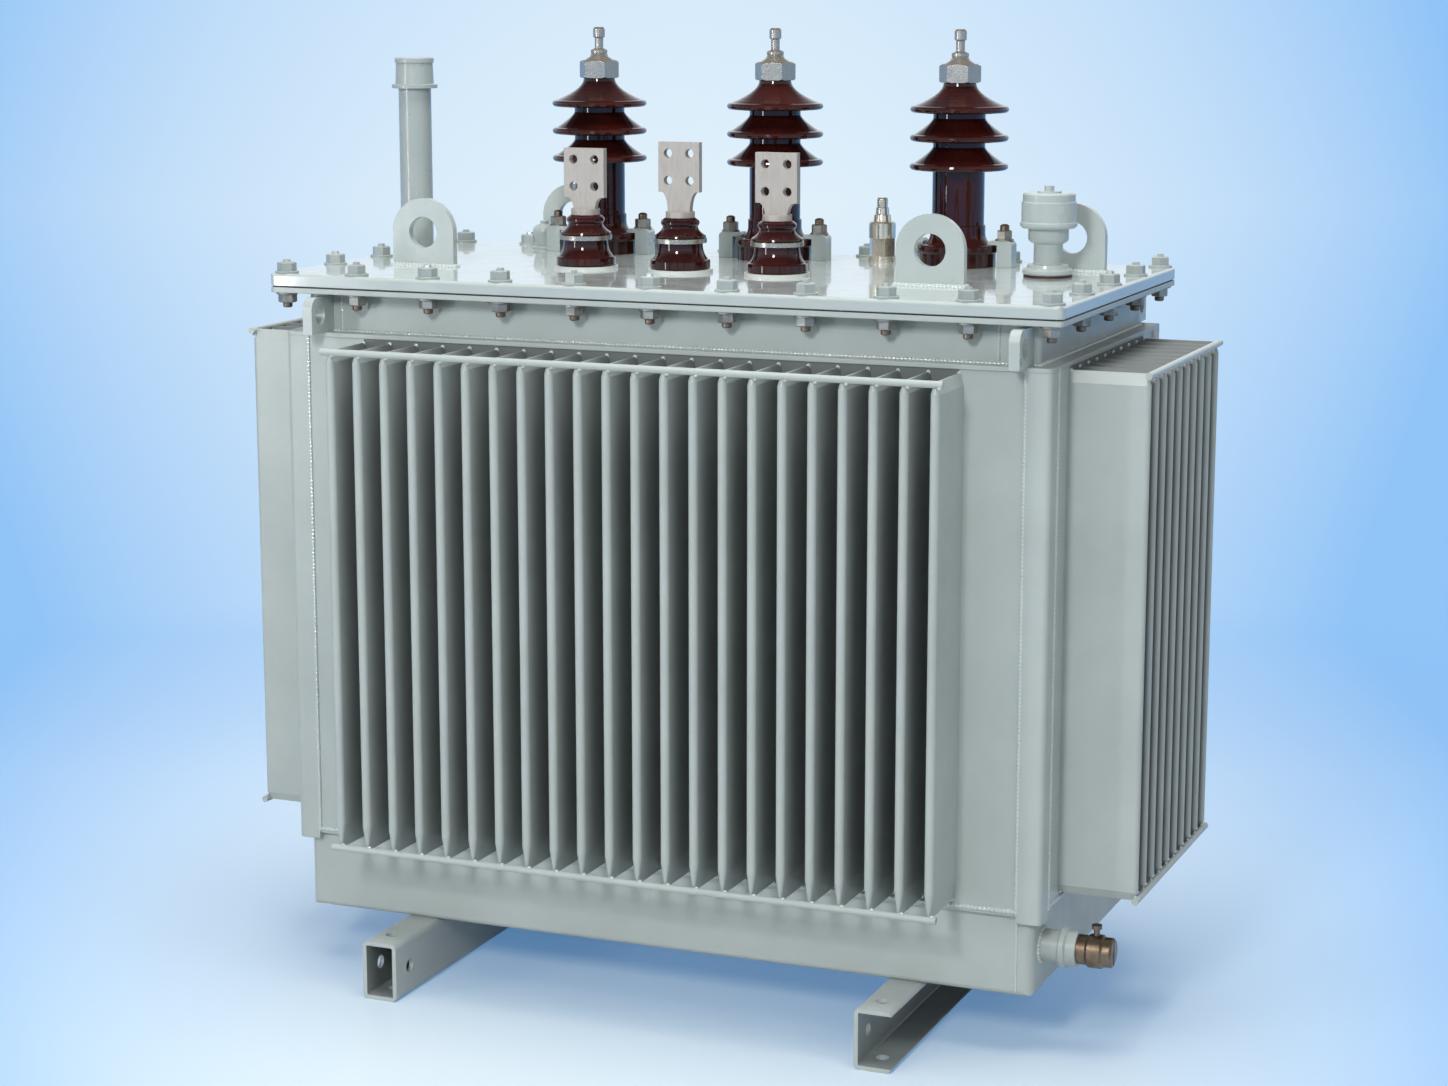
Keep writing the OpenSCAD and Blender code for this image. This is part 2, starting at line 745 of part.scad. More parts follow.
module lv_base_rings() {
  color([0.8, 0.82, 0.8]) for (x = lv_xs) translate([x, lv_y, top_z]) cylinder(d = lv_base_d, h = lv_base_t);
}

// Lower skirt and bell-shaped upper cap of a low-voltage bushing, in porcelain
module lv_porcelain(x) {
  rf = lv_foot_d / 2;
  rt = lv_top_d / 2;
  rb = lv_bulge_d / 2;
  u = lv_up_h;
  color(porcelain) translate([x, lv_y, top_z]) rotate_extrude($fn = 96) {
    polygon(concat(
      [[0, lv_base_t], [rf - 2, lv_base_t], [rf, lv_base_t + 2], [rf, lv_base_t + lv_foot_h - 2], [rf - 1, lv_base_t + lv_foot_h - 0.5]],
      slope(rf - 3, lv_waist_d / 2, lv_base_t + lv_foot_h, lv_low_h - lv_foot_h, 2.6),
      [[0, lv_ring_z]]
    ));
    polygon(concat(
      [[0, lv_up_z], [rb - 1.5, lv_up_z], [rb, lv_up_z + 1.5], [rb - 0.5, lv_up_z + u * 0.14]],
      slope(rb - 3, rt + 3, lv_up_z + u * 0.2, u * 0.38, 2),
      [for (a = [-45:30:75]) [rt + 1 + 4.5 * cos(a), lv_up_z + u * (0.76 + 0.18 * sin(a))]],
      [[rt, lv_collar_z], [0, lv_collar_z]]
    ));
  }
}

module lv_porcelain_left() {
  lv_porcelain(lv_xs[0]);
}

module lv_porcelain_middle() {
  lv_porcelain(lv_xs[1]);
}

module lv_porcelain_right() {
  lv_porcelain(lv_xs[2]);
}

module lv_rings() {
  color(zinc) for (x = lv_xs) translate([x, lv_y, top_z + lv_ring_z]) cylinder(d = lv_ring_d, h = lv_ring_t);
}

// Round collar with a stem that widens into a flag with four bolt holes
module lv_flag(x, rise) {
  z0 = lv_collar_h;
  z1 = z0 + lv_stem_h + rise;
  s = lv_stem_w / 2;
  w = lv_flag_w / 2;
  side = [for (a = [0:15:90]) [s + (w - s) * 0.7 * (1 - cos(a)), z0 + (z1 - z0) * sin(a)]];
  other = [for (i = [len(side) - 1:-1:0]) [-side[i][0], side[i][1]]];
  color(tin) translate([x, lv_y, top_z + lv_collar_z]) {
    cylinder(d = lv_collar_d, h = lv_collar_h);
    difference() {
      translate([0, lv_flag_t / 2, 0]) rotate([90, 0, 0]) linear_extrude(lv_flag_t) polygon(concat(
        side, [[w, z1], [w, z1 + lv_flag_h], [-w, z1 + lv_flag_h], [-w, z1]], other
      ));
      for (i = [-1, 1], j = [-1, 1])
        translate([i * lv_hole_x / 2, 0, z1 + lv_flag_h / 2 + j * lv_hole_z / 2]) rotate([90, 0, 0])
          cylinder(d = lv_hole_d, h = 2 * lv_flag_t, center = true);
    }
  }
}

module lv_flag_left() {
  lv_flag(lv_xs[0], 0);
}

module lv_flag_middle() {
  lv_flag(lv_xs[1], lv_mid_rise);
}

module lv_flag_right() {
  lv_flag(lv_xs[2], 0);
}

module filler_pipe() {
  color(paint) translate([pipe_at[0], pipe_at[1], top_z]) {
    cylinder(d = pipe_foot_d, h = pipe_foot_t);
    cylinder(d = pipe_d, h = pipe_h);
  }
}

// Screw cap with a flange at its foot and a band round its top
module filler_cap() {
  r = filler_cap_d / 2;
  h = filler_flange_t + filler_cap_h;
  color(paint) translate([pipe_at[0], pipe_at[1], top_z + pipe_h]) rotate_extrude() polygon([
    [0, 0], [filler_flange_d / 2, 0], [filler_flange_d / 2, filler_flange_t], [r - 0.5, filler_flange_t + 1],
    [r - 1.5, h - 8], [r, h - 7], [r, h - 1.5], [r - 1.5, h], [0, h]
  ]);
}

module tap_changer_gasket() {
  color([0.25, 0.08, 0.08]) translate([tap_at[0], tap_at[1], top_z]) cylinder(d = tap_gasket_d, h = tap_gasket_t);
}

// Turned housing of the off-load tap changer: stepped foot flange, neck and seat
module tap_changer_body() {
  rb = tap_base_d / 2;
  rn = tap_neck_d / 2;
  rs = tap_seat_d / 2;
  zb = tap_gasket_t + tap_base_t;
  color(paint) translate([tap_at[0], tap_at[1], top_z]) rotate_extrude() polygon([
    [0, tap_gasket_t], [rb - 2, tap_gasket_t], [rb, tap_gasket_t + 2], [rb, zb - 2], [rb - 2, zb],
    [rb - 6, zb + 1], [rb - 7, zb + 5], [rn + 1, zb + 6], [rn, zb + 8], [rn, tap_seat_z - 2],
    [rs - 2, tap_seat_z + 1], [rs, tap_seat_z + 4], [rs, tap_cap_z], [0, tap_cap_z]
  ]);
}

// Turned cap with a foot band, a step near its top, a disc and a nut
module tap_changer_cap() {
  r = tap_cap_d / 2;
  h = tap_cap_h;
  color(paint) translate([tap_at[0], tap_at[1], top_z + tap_cap_z]) {
    rotate_extrude() polygon([
      [0, 0], [r - 3, 0], [r, 3], [r, 7], [r - 1.5, 8.5], [r - 1.5, h - 12], [r - 3, h - 11],
      [r - 3, h - 2], [r - 5, h], [tap_disc_d / 2, h], [tap_disc_d / 2, h + 2], [0, h + 2]
    ]);
    translate([0, 0, h + 2]) cylinder(d = tap_disc_d * 0.42, h = 7, $fn = 6);
  }
}

// Stepped relief valve with a hexagonal body
module relief_valve() {
  h = relief_h;
  rf = relief_foot_d / 2;
  rb = relief_body_d / 2;
  color(brass) translate([relief_at[0], relief_at[1], top_z]) {
    cylinder(r = rf, h = h * 0.05);
    translate([0, 0, h * 0.05]) cylinder(r = rf - 1.5, h = h * 0.04);
    translate([0, 0, h * 0.09]) cylinder(r = rb, h = h * 0.28, $fn = 6);
    translate([0, 0, h * 0.37]) rotate_extrude() polygon([
      [0, 0], [rb, 0], [rb, h * 0.23], [rb - 1.5, h * 0.25], [rb - 6, h * 0.26], [rb - 7, h * 0.36],
      [rb - 9, h * 0.37], [rb - 9.5, h * 0.47], [rb - 11, h * 0.48], [rb - 11, h * 0.61], [rb - 12, h * 0.63], [0, h * 0.63]
    ]);
  }
}

// Round-shouldered head of the thermometer pocket
module thermometer_pocket() {
  h = pocket_h;
  r = pocket_d / 2;
  color(paint) translate([pocket_at[0], pocket_at[1], top_z]) rotate_extrude() polygon(concat(
    [[0, 0], [pocket_foot_r, 0], [pocket_foot_r, h * 0.08], [r - 4, h * 0.1], [r - 3.5, h * 0.2], [r, h * 0.6]],
    [for (a = [0:18:90]) [7 + (r - 7) * cos(a), h * (0.66 + 0.22 * sin(a))]],
    [[6, h * 0.9], [6, h], [0, h]]
  ));
}

// Stub pipe welded to the trough, with a stepped collar
module drain_stub() {
  n = drain_stub_len - drain_collar_len;
  rc = drain_collar_d / 2;
  color(paint) translate(drain_at) rotate([0, 90, 0]) {
    cylinder(d = drain_stub_d, h = n);
    translate([0, 0, n]) rotate_extrude() polygon([
      [0, 0], [rc - 2, 0], [rc, 2], [rc, 8], [rc - 3, 10], [rc - 3, drain_collar_len], [0, drain_collar_len]
    ]);
  }
}

// Turned valve with a grip ring, a slotted plug and a vent screw on top
module drain_valve() {
  r = drain_body_d / 2;
  l = drain_valve_len;
  slot_w = 4;
  color(brass) translate(drain_at) translate([drain_stub_len, 0, 0]) {
    difference() {
      rotate([0, 90, 0]) rotate_extrude() polygon([
        [0, 0], [r - 2.5, 0], [r - 2.5, l * 0.25], [r - 1.5, l * 0.28], [r, l * 0.32], [r, l * 0.68],
        [r - 1.5, l * 0.72], [r - 2.5, l * 0.74], [r - 2.5, l - 2], [r - 4.5, l], [0, l]
      ]);
      translate([l - 3, -slot_w / 2, -r]) cube([4, slot_w, 2 * r]);
    }
    translate([l / 2, 0, r - 2]) cylinder(d = vent_d * 0.6, h = vent_h - 2);
    translate([l / 2, 0, r + vent_h - 5]) cylinder(d = vent_d, h = 5);
  }
}

left_skid_rail();
right_skid_rail();
bottom_trough();
front_corrugated_wall();
rear_corrugated_wall();
left_corrugated_wall();
right_corrugated_wall();
corner_posts();
front_fin_rods();
rear_fin_rods();
left_fin_rods();
right_fin_rods();
tank_collar();
tank_flange();
cover_gasket();
cover_plate();
front_left_lifting_lug();
front_right_lifting_lug();
rear_left_lifting_lug();
rear_right_lifting_lug();
lashing_eyes();
hv_porcelain_left();
hv_porcelain_middle();
hv_porcelain_right();
hv_terminal_left();
hv_terminal_middle();
hv_terminal_right();
hv_clamps();
lv_base_rings();
lv_porcelain_left();
lv_porcelain_middle();
lv_porcelain_right();
lv_rings();
lv_flag_left();
lv_flag_middle();
lv_flag_right();
filler_pipe();
filler_cap();
tap_changer_gasket();
tap_changer_body();
tap_changer_cap();
relief_valve();
thermometer_pocket();
drain_stub();
drain_valve();
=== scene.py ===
"""Oil-immersed distribution transformer: finishes, fasteners, weld beads and a studio around the packed frame."""
import json
import math

import bmesh
import bpy
from bpy.props import FloatProperty, FloatVectorProperty, IntProperty, PointerProperty
from mathutils import Euler, Matrix, Vector


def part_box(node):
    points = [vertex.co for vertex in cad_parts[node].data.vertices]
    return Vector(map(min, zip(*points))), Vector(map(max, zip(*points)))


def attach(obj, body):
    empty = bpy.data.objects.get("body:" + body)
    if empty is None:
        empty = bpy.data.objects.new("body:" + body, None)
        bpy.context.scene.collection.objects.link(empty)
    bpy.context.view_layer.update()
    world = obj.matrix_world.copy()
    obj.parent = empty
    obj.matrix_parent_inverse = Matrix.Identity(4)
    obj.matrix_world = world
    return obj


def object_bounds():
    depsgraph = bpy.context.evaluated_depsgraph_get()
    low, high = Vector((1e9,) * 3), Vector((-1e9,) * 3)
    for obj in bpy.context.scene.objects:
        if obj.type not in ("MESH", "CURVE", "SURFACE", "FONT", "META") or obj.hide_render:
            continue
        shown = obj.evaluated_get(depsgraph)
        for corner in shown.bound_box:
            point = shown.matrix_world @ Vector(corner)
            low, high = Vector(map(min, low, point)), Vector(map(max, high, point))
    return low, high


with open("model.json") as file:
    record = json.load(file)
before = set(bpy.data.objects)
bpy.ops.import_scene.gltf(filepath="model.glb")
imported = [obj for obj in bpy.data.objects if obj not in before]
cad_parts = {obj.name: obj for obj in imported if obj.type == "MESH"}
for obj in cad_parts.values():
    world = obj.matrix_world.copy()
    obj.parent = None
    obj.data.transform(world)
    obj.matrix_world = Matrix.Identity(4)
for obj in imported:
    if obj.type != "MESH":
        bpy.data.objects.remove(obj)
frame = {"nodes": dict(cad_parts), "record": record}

bl_info = {
    "name": "Distribution transformer dressing",
    "version": (1, 0, 0),
    "blender": (4, 5, 0),
    "location": "View3D > Sidebar > Transformer",
    "description": "Finishes, cover bolts, clamp nuts and weld beads for a corrugated-tank transformer",
    "category": "Object",
}

CAD_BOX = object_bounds()
SLOT_COLOURS = {m["slot"]: m["base_color"] for m in frame["record"]["materials"]}


def edges(node):
    """Lowest and highest corner of a CAD node."""
    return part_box(node)


COVER = edges("cover_plate")
FLANGE = edges("tank_flange")
COLLAR = edges("tank_collar")
POSTS = edges("corner_posts")
TROUGH = edges("bottom_trough")
FRONT_WALL = edges("front_corrugated_wall")
FRONT_RODS = edges("front_fin_rods")
END_RODS = edges("right_fin_rods")
LEFT_RAIL = edges("left_skid_rail")
RIGHT_RAIL = edges("right_skid_rail")
RAIL_WALL = 0.006  # sheet of the rails
LONG_FINS = 22  # fins on a long side
FIN_INSET = 0.011  # from the end of a rod to its last fin
TROUGH_HALF = 0.254  # half the width of the trough


def colour(name, label, default):
    return FloatVectorProperty(name=name, description=label, default=default, subtype="COLOR", min=0, max=1)


def length(name, label, default, low=0.0005, high=2.0):
    return FloatProperty(
        name=name, description=label, default=default, min=low, max=high, unit="LENGTH", precision=4)


def angle(name, label, default):
    return FloatProperty(name=name, description=label, default=default, subtype="ANGLE")


def count(name, label, default):
    return IntProperty(name=name, description=label, default=default, min=3, max=30)


def power(name, label, default):
    return FloatProperty(name=name, description=label + " in watts", default=default, min=0)


class TransformerFinish(bpy.types.PropertyGroup):
    """Colours of the finishes"""
    paint: colour("Tank paint", "Colour of the paint on tank, rails and cover", SLOT_COLOURS["tank_paint"])
    porcelain: colour("Porcelain", "Colour of the glaze on the bushings", (0.043, 0.007, 0.0052))
    tin: colour("Tinned metal", "Colour of the low-voltage flags", (0.43, 0.4, 0.37))
    nickel: colour("Nickel", "Colour of the nuts and studs on the tall bushings", (0.45, 0.41, 0.35))
    bronze: colour("Bronze", "Colour of the drain valve and the stud tips", (0.27, 0.195, 0.135))
    valve: colour("Relief valve", "Colour of the relief valve", (0.82, 0.74, 0.6))
    zinc: colour("Zinc plate", "Colour of the plated nuts and washers", (0.4, 0.375, 0.33))
    rubber: colour("Gasket", "Colour of the cover gasket", SLOT_COLOURS["gasket"])
    red_rubber: colour("Red gasket", "Colour of the gasket under the tap changer", (0.05, 0.012, 0.012))
    washer: colour("Pale ring", "Colour of the rings under the low bushings", SLOT_COLOURS["pale_ring"])


class TransformerFasteners(bpy.types.PropertyGroup):
    """Sizes and counts of the fasteners"""
    long_count: count("Bolts on a long side", "Cover bolts along a long side, corners included", 11)
    short_count: count("Bolts on a short side", "Cover bolts along a short side, corners included", 5)
    edge_x: length("End inset", "Distance of the bolt line from the cover's ends", 0.018)
    edge_y: length("Side inset", "Distance of the bolt line from the cover's long sides", 0.017)
    flats: length("Across flats", "Width of a bolt head across its flats", 0.0225)
    head: length("Head height", "Height of a bolt head", 0.0105)
    washer: length("Washer radius", "Outer radius of a washer", 0.0158)
    stud: length("Stud radius", "Radius of a stud tip", 0.0064)
    clamp_flats: length("Clamp nut flats", "Width of a clamp nut across its flats", 0.0195)


class TransformerWelds(bpy.types.PropertyGroup):
    """Sizes of the weld beads"""
    seam: length("Seam radius", "Half width of the beads on the tank seams", 0.0034)
    fillet: length("Fillet radius", "Half width of the beads round fittings", 0.0042)
    pitch: length("Ripple pitch", "Distance between ripples of a bead", 0.0052)


class TransformerStage(bpy.types.PropertyGroup):
    """Camera, floor and light"""
    azimuth: angle("Azimuth", "Camera angle round the object", math.radians(22.387))
    elevation: angle("Elevation", "Camera angle above the floor", math.radians(10.677))
    distance: length("Distance", "Camera distance from its target", 4.0793, 0.5, 20.0)
    target: FloatVectorProperty(
        name="Target", description="Point that the camera looks at",
        default=(-0.00465, -0.00192, 0.58104), unit="LENGTH")
    lens: FloatProperty(name="Lens", description="Focal length in millimetres", default=74.113, min=10, max=300)
    floor: colour("Floor colour", "Colour of the floor away from the object", (0.283, 0.552, 0.93))
    glow: colour("Glow colour", "Colour of the floor round the object", (0.753, 0.88, 0.965))
    shadow: colour("Shadow colour", "Colour that shows in the floor's shadows", (0.2, 0.5, 1.0))
    haze: FloatProperty(
        name="Shadow haze", description="Share of the shadow colour near the object", default=0.36, min=0, max=0.6)
    level: FloatProperty(
        name="Floor light", description="Light that reaches the open floor near the object",
        default=1.12, min=0.1, max=5)
    key: power("Key light", "Power of the key light", 110.0)
    fill: power("Fill light", "Power of the fill light", 27.0)
    side: power("Side light", "Power of the left side light", 28.0)
    rear: power("Rear light", "Power of the rear light", 70.0)
    top: power("Top light", "Power of the overhead light", 185.0)
    ambient: FloatProperty(
        name="Ambient light", description="Level of the light from all round", default=0.14, min=0, max=1)


# Shader node helpers

def add_node(tree, kind, x=0, y=0, **settings):
    node = tree.nodes.new(kind)
    node.location = (x, y)
    for key, value in settings.items():
        setattr(node, key, value)
    return node


def feed(tree, node, socket, value):
    """Links an output socket, or sets a plain value."""
    target = node.inputs[socket]
    if isinstance(value, bpy.types.NodeSocket):
        tree.links.new(value, target)
    else:
        target.default_value = value


def noise(tree, coords, scale, detail=3.0, rough=0.55, stretch=None, x=0, y=0):
    """Noise over Object coordinates, stretched by a mapping where asked."""
    if stretch:
        mapping = add_node(tree, "ShaderNodeMapping", x - 180, y)
        mapping.inputs["Scale"].default_value = stretch
        tree.links.new(coords, mapping.inputs["Vector"])
        coords = mapping.outputs["Vector"]
    node = add_node(tree, "ShaderNodeTexNoise", x, y)
    tree.links.new(coords, node.inputs["Vector"])
    for socket, value in (("Scale", scale), ("Detail", detail), ("Roughness", rough)):
        node.inputs[socket].default_value = value
    return node.outputs["Fac"]


def remap(tree, value, low, high, to_low=0.0, to_high=1.0, x=0, y=0):
    node = add_node(tree, "ShaderNodeMapRange", x, y)
    feed(tree, node, "Value", value)
    for socket, number in (("From Min", low), ("From Max", high), ("To Min", to_low), ("To Max", to_high)):
        feed(tree, node, socket, number)
    return node.outputs["Result"]


def mix(tree, factor, a, b, x=0, y=0):
    node = add_node(tree, "ShaderNodeMix", x, y, data_type="RGBA")
    feed(tree, node, 0, factor)
    feed(tree, node, 6, a)
    feed(tree, node, 7, b)
    return node.outputs[2]


def sums(tree, a, b, operation="ADD", x=0, y=0):
    node = add_node(tree, "ShaderNodeMath", x, y, operation=operation)
    feed(tree, node, 0, a)
    feed(tree, node, 1, b)
    return node.outputs[0]


def open_group(name, inputs, outputs):
    """A shader group with its named sockets; returns the tree and its input and output nodes."""
    tree = bpy.data.node_groups.new(name, "ShaderNodeTree")
    for label, kind, default in inputs:
        socket = tree.interface.new_socket(label, in_out="INPUT", socket_type=kind)
        if default is not None:
            socket.default_value = default
    for label, kind in outputs:
        tree.interface.new_socket(label, in_out="OUTPUT", socket_type=kind)
    return tree, add_node(tree, "NodeGroupInput", -1100), add_node(tree, "NodeGroupOutput", 900)


COLOUR, NUMBER, VECTOR = "NodeSocketColor", "NodeSocketFloat", "NodeSocketVector"
SURFACE = [("Colour", COLOUR), ("Roughness", NUMBER), ("Height", NUMBER)]


def sprayed_paint_group():
    """Sprayed paint: cloudy tone, orange peel, dust in upright streaks and a few pale scuffs."""
    tree, ins, outs = open_group(
        "SprayedPaint",
        [("Vector", VECTOR, None), ("Colour", COLOUR, (0.4, 0.46, 0.44, 1)), ("Cloud", NUMBER, 0.1),
         ("Dust", NUMBER, 0.2), ("Gloss", NUMBER, 0.35), ("Peel", NUMBER, 1.0)],
        SURFACE)
    vec = ins.outputs["Vector"]
    cloud = noise(tree, vec, 7.0, 4.0, 0.6, x=-700, y=300)
    patch = noise(tree, vec, 31.0, 3.0, 0.6, x=-700, y=100)
    fine = noise(tree, vec, 420.0, 2.0, 0.5, x=-700, y=-100)
    runs = noise(tree, vec, 26.0, 3.0, 0.6, (1.0, 1.0, 0.12), x=-700, y=-300)
    tone = remap(tree, cloud, 0.3, 0.7, -1.0, 1.0, x=-450, y=300)
    tone = sums(tree, tone, ins.outputs["Cloud"], "MULTIPLY", x=-250, y=300)
    tone = sums(tree, tone, 1.0, x=-100, y=300)
    scaled = add_node(tree, "ShaderNodeVectorMath", 50, 300, operation="SCALE")
    tree.links.new(ins.outputs["Colour"], scaled.inputs[0])
    tree.links.new(tone, scaled.inputs["Scale"])
    dust = sums(tree, remap(tree, runs, 0.5, 0.78, x=-450, y=-300), ins.outputs["Dust"], "MULTIPLY", x=-250, y=-300)
    dusty = mix(tree, dust, scaled.outputs[0], (0.47, 0.47, 0.43, 1), x=250, y=250)
    scuff = remap(tree, patch, 0.71, 0.76, 0.0, 0.16, x=-450, y=100)
    tree.links.new(mix(tree, scuff, dusty, (0.6, 0.64, 0.62, 1), x=450, y=250), outs.inputs["Colour"])
    rough = sums(tree, remap(tree, patch, 0.3, 0.7, -0.06, 0.08, x=-450, y=0), ins.outputs["Gloss"], x=-250, y=0)
    rough = sums(tree, rough, sums(tree, dust, 0.35, "MULTIPLY", x=-100, y=-150), x=50, y=0)
    tree.links.new(rough, outs.inputs["Roughness"])
    peel = sums(tree, fine, 0.35, "MULTIPLY", x=-450, y=-120)
    peel = sums(tree, peel, ins.outputs["Peel"], "MULTIPLY", x=-250, y=-120)
    lumps = sums(tree, patch, 0.5, "MULTIPLY", x=-250, y=-220)
    tree.links.new(sums(tree, peel, lumps, x=50, y=-150), outs.inputs["Height"])
    return tree


def split(tree, vector, x=-900, y=0):
    """The three axes of a vector."""
    axes = add_node(tree, "ShaderNodeSeparateXYZ", x, y)
    tree.links.new(vector, axes.inputs[0])
    return axes.outputs


def gap_group():
    """Mask that falls from one at the tank wall to nought at the fin tips, and only between fins."""
    # This mask places painted shade between the fins, darker towards the wall.
    tree, ins, outs = open_group("FinGaps", [("Vector", VECTOR, None)], [("Depth", NUMBER)])
    axes = split(tree, ins.outputs["Vector"])
    ax, ay = (sums(tree, axes[n], 0.0, "ABSOLUTE", x=-700, y=y) for n, y in (("X", 200), ("Y", -200)))
    banks = ((ax, FRONT_RODS[1].x, ay, POSTS[1].y, CAD_BOX[1].y, 1.0, 200),
             (ay, END_RODS[1].y, ax, POSTS[1].x, END_RODS[1].x, 12.0, -200))
    masks = []
    for run, rod_end, out, wall, tip, steep, y in banks:
        inside = sums(tree, run, rod_end - FIN_INSET, "LESS_THAN", x=-450, y=y)
        unshaded = tip - 0.004
        depth = remap(tree, out, unshaded - (tip - wall) / steep, unshaded, 1.0, 0.0, x=-450, y=y - 160)
        beyond = sums(tree, out, wall - 0.012, "GREATER_THAN", x=-450, y=y + 160)
        masks.append(sums(tree, sums(tree, inside, depth, "MULTIPLY", x=-200, y=y), beyond, "MULTIPLY", x=0, y=y))
    tree.links.new(sums(tree, *masks, "MAXIMUM", x=300), outs.inputs["Depth"])
    return tree


def between(tree, value, low, high, x=0, y=0):
    """One where a value lies between two limits."""
    inside = sums(tree, value, (low + high) / 2, "COMPARE", x=x, y=y)
    inside.node.inputs[2].default_value = (high - low) / 2
    return inside


def rail_group():
    """Mask of the faces inside the closed left rail and the open right one."""
    # This mask places painted shade on the faces inside the rails.
    tree, ins, outs = open_group("RailInsides", [("Vector", VECTOR, None)], [("Depth", NUMBER)])
    axes = split(tree, ins.outputs["Vector"])
    wall = RAIL_WALL - 0.0005
    insides = []
    for (low, high), lip, y in ((LEFT_RAIL, wall, 200), (RIGHT_RAIL, -0.001, -200)):
        across = between(tree, axes["X"], low.x + wall, high.x - lip, x=-600, y=y)
        up = between(tree, axes["Z"], low.z + wall, high.z - wall, x=-600, y=y - 160)
        insides.append(sums(tree, across, up, "MULTIPLY", x=-300, y=y))
    tree.links.new(sums(tree, *insides, "MAXIMUM"), outs.inputs["Depth"])
    return tree


def turned_metal_group():
    """Turned or rolled metal: fine drawn grain, stains and small pits."""
    tree, ins, outs = open_group(
        "WorkedMetal",
        [("Vector", VECTOR, None), ("Colour", COLOUR, (0.6, 0.6, 0.6, 1)), ("Stain", COLOUR, (0.2, 0.18, 0.15, 1)),
         ("Stained", NUMBER, 0.3), ("Gloss", NUMBER, 0.3), ("Grain", VECTOR, (1.0, 1.0, 6.0))],
        SURFACE)
    vec = ins.outputs["Vector"]
    mapping = add_node(tree, "ShaderNodeVectorMath", -900, 0, operation="MULTIPLY")
    tree.links.new(vec, mapping.inputs[0])
    tree.links.new(ins.outputs["Grain"], mapping.inputs[1])
    grain = noise(tree, mapping.outputs[0], 260.0, 2.0, 0.6, x=-600, y=200)
    stain = noise(tree, vec, 55.0, 5.0, 0.65, x=-600, y=0)
    pits = noise(tree, vec, 380.0, 2.0, 0.5, x=-600, y=-200)
    amount = remap(tree, stain, 0.42, 0.68, x=-350, y=0)
    amount = sums(tree, amount, ins.outputs["Stained"], "MULTIPLY", x=-150, y=0)
    body = mix(tree, amount, ins.outputs["Colour"], ins.outputs["Stain"], x=100, y=200)
    drawn = remap(tree, grain, 0.25, 0.75, 0.84, 1.08, x=-350, y=200)
    scaled = add_node(tree, "ShaderNodeVectorMath", 300, 200, operation="SCALE")
    tree.links.new(body, scaled.inputs[0])
    tree.links.new(drawn, scaled.inputs["Scale"])
    tree.links.new(scaled.outputs[0], outs.inputs["Colour"])
    rough = remap(tree, grain, 0.3, 0.7, -0.05, 0.08, x=-350, y=120)
    rough = sums(tree, ins.outputs["Gloss"], rough, x=-100, y=100)
    rough = sums(tree, rough, sums(tree, amount, 0.3, "MULTIPLY", x=0, y=-50), x=200, y=0)
    tree.links.new(rough, outs.inputs["Roughness"])
    height = sums(tree, grain, sums(tree, pits, 0.6, "MULTIPLY", x=-350, y=-200), x=0, y=-200)
    tree.links.new(height, outs.inputs["Height"])
    return tree


def glaze_group():
    """Brown glaze: cloudy between its colour and a darker pool, with small specks."""
    tree, ins, outs = open_group(
        "BrownGlaze",
        [("Vector", VECTOR, None), ("Colour", COLOUR, (0.09, 0.018, 0.012, 1)),
         ("Pool", COLOUR, (0.018, 0.0042, 0.0036, 1))],
        SURFACE)
    vec = ins.outputs["Vector"]
    flow = noise(tree, vec, 18.0, 4.0, 0.6, (1.0, 1.0, 0.5), x=-600, y=200)
    cloud = noise(tree, vec, 60.0, 3.0, 0.55, x=-600, y=0)
    specks = noise(tree, vec, 700.0, 2.0, 0.5, x=-600, y=-200)
    pooled = remap(tree, flow, 0.36, 0.66, x=-350, y=200)
    pooled = mix(tree, pooled, ins.outputs["Colour"], ins.outputs["Pool"], x=-50, y=200)
    speck = remap(tree, specks, 0.7, 0.76, 0.0, 0.35, x=-350, y=-200)
    tree.links.new(mix(tree, speck, pooled, (0.07, 0.016, 0.011, 1), x=250, y=150), outs.inputs["Colour"])
    tree.links.new(remap(tree, cloud, 0.3, 0.7, 0.07, 0.16, x=-350, y=0), outs.inputs["Roughness"])
    height = sums(tree, flow, sums(tree, cloud, 0.25, "MULTIPLY", x=-350, y=-80), x=0, y=-100)
    tree.links.new(height, outs.inputs["Height"])
    return tree


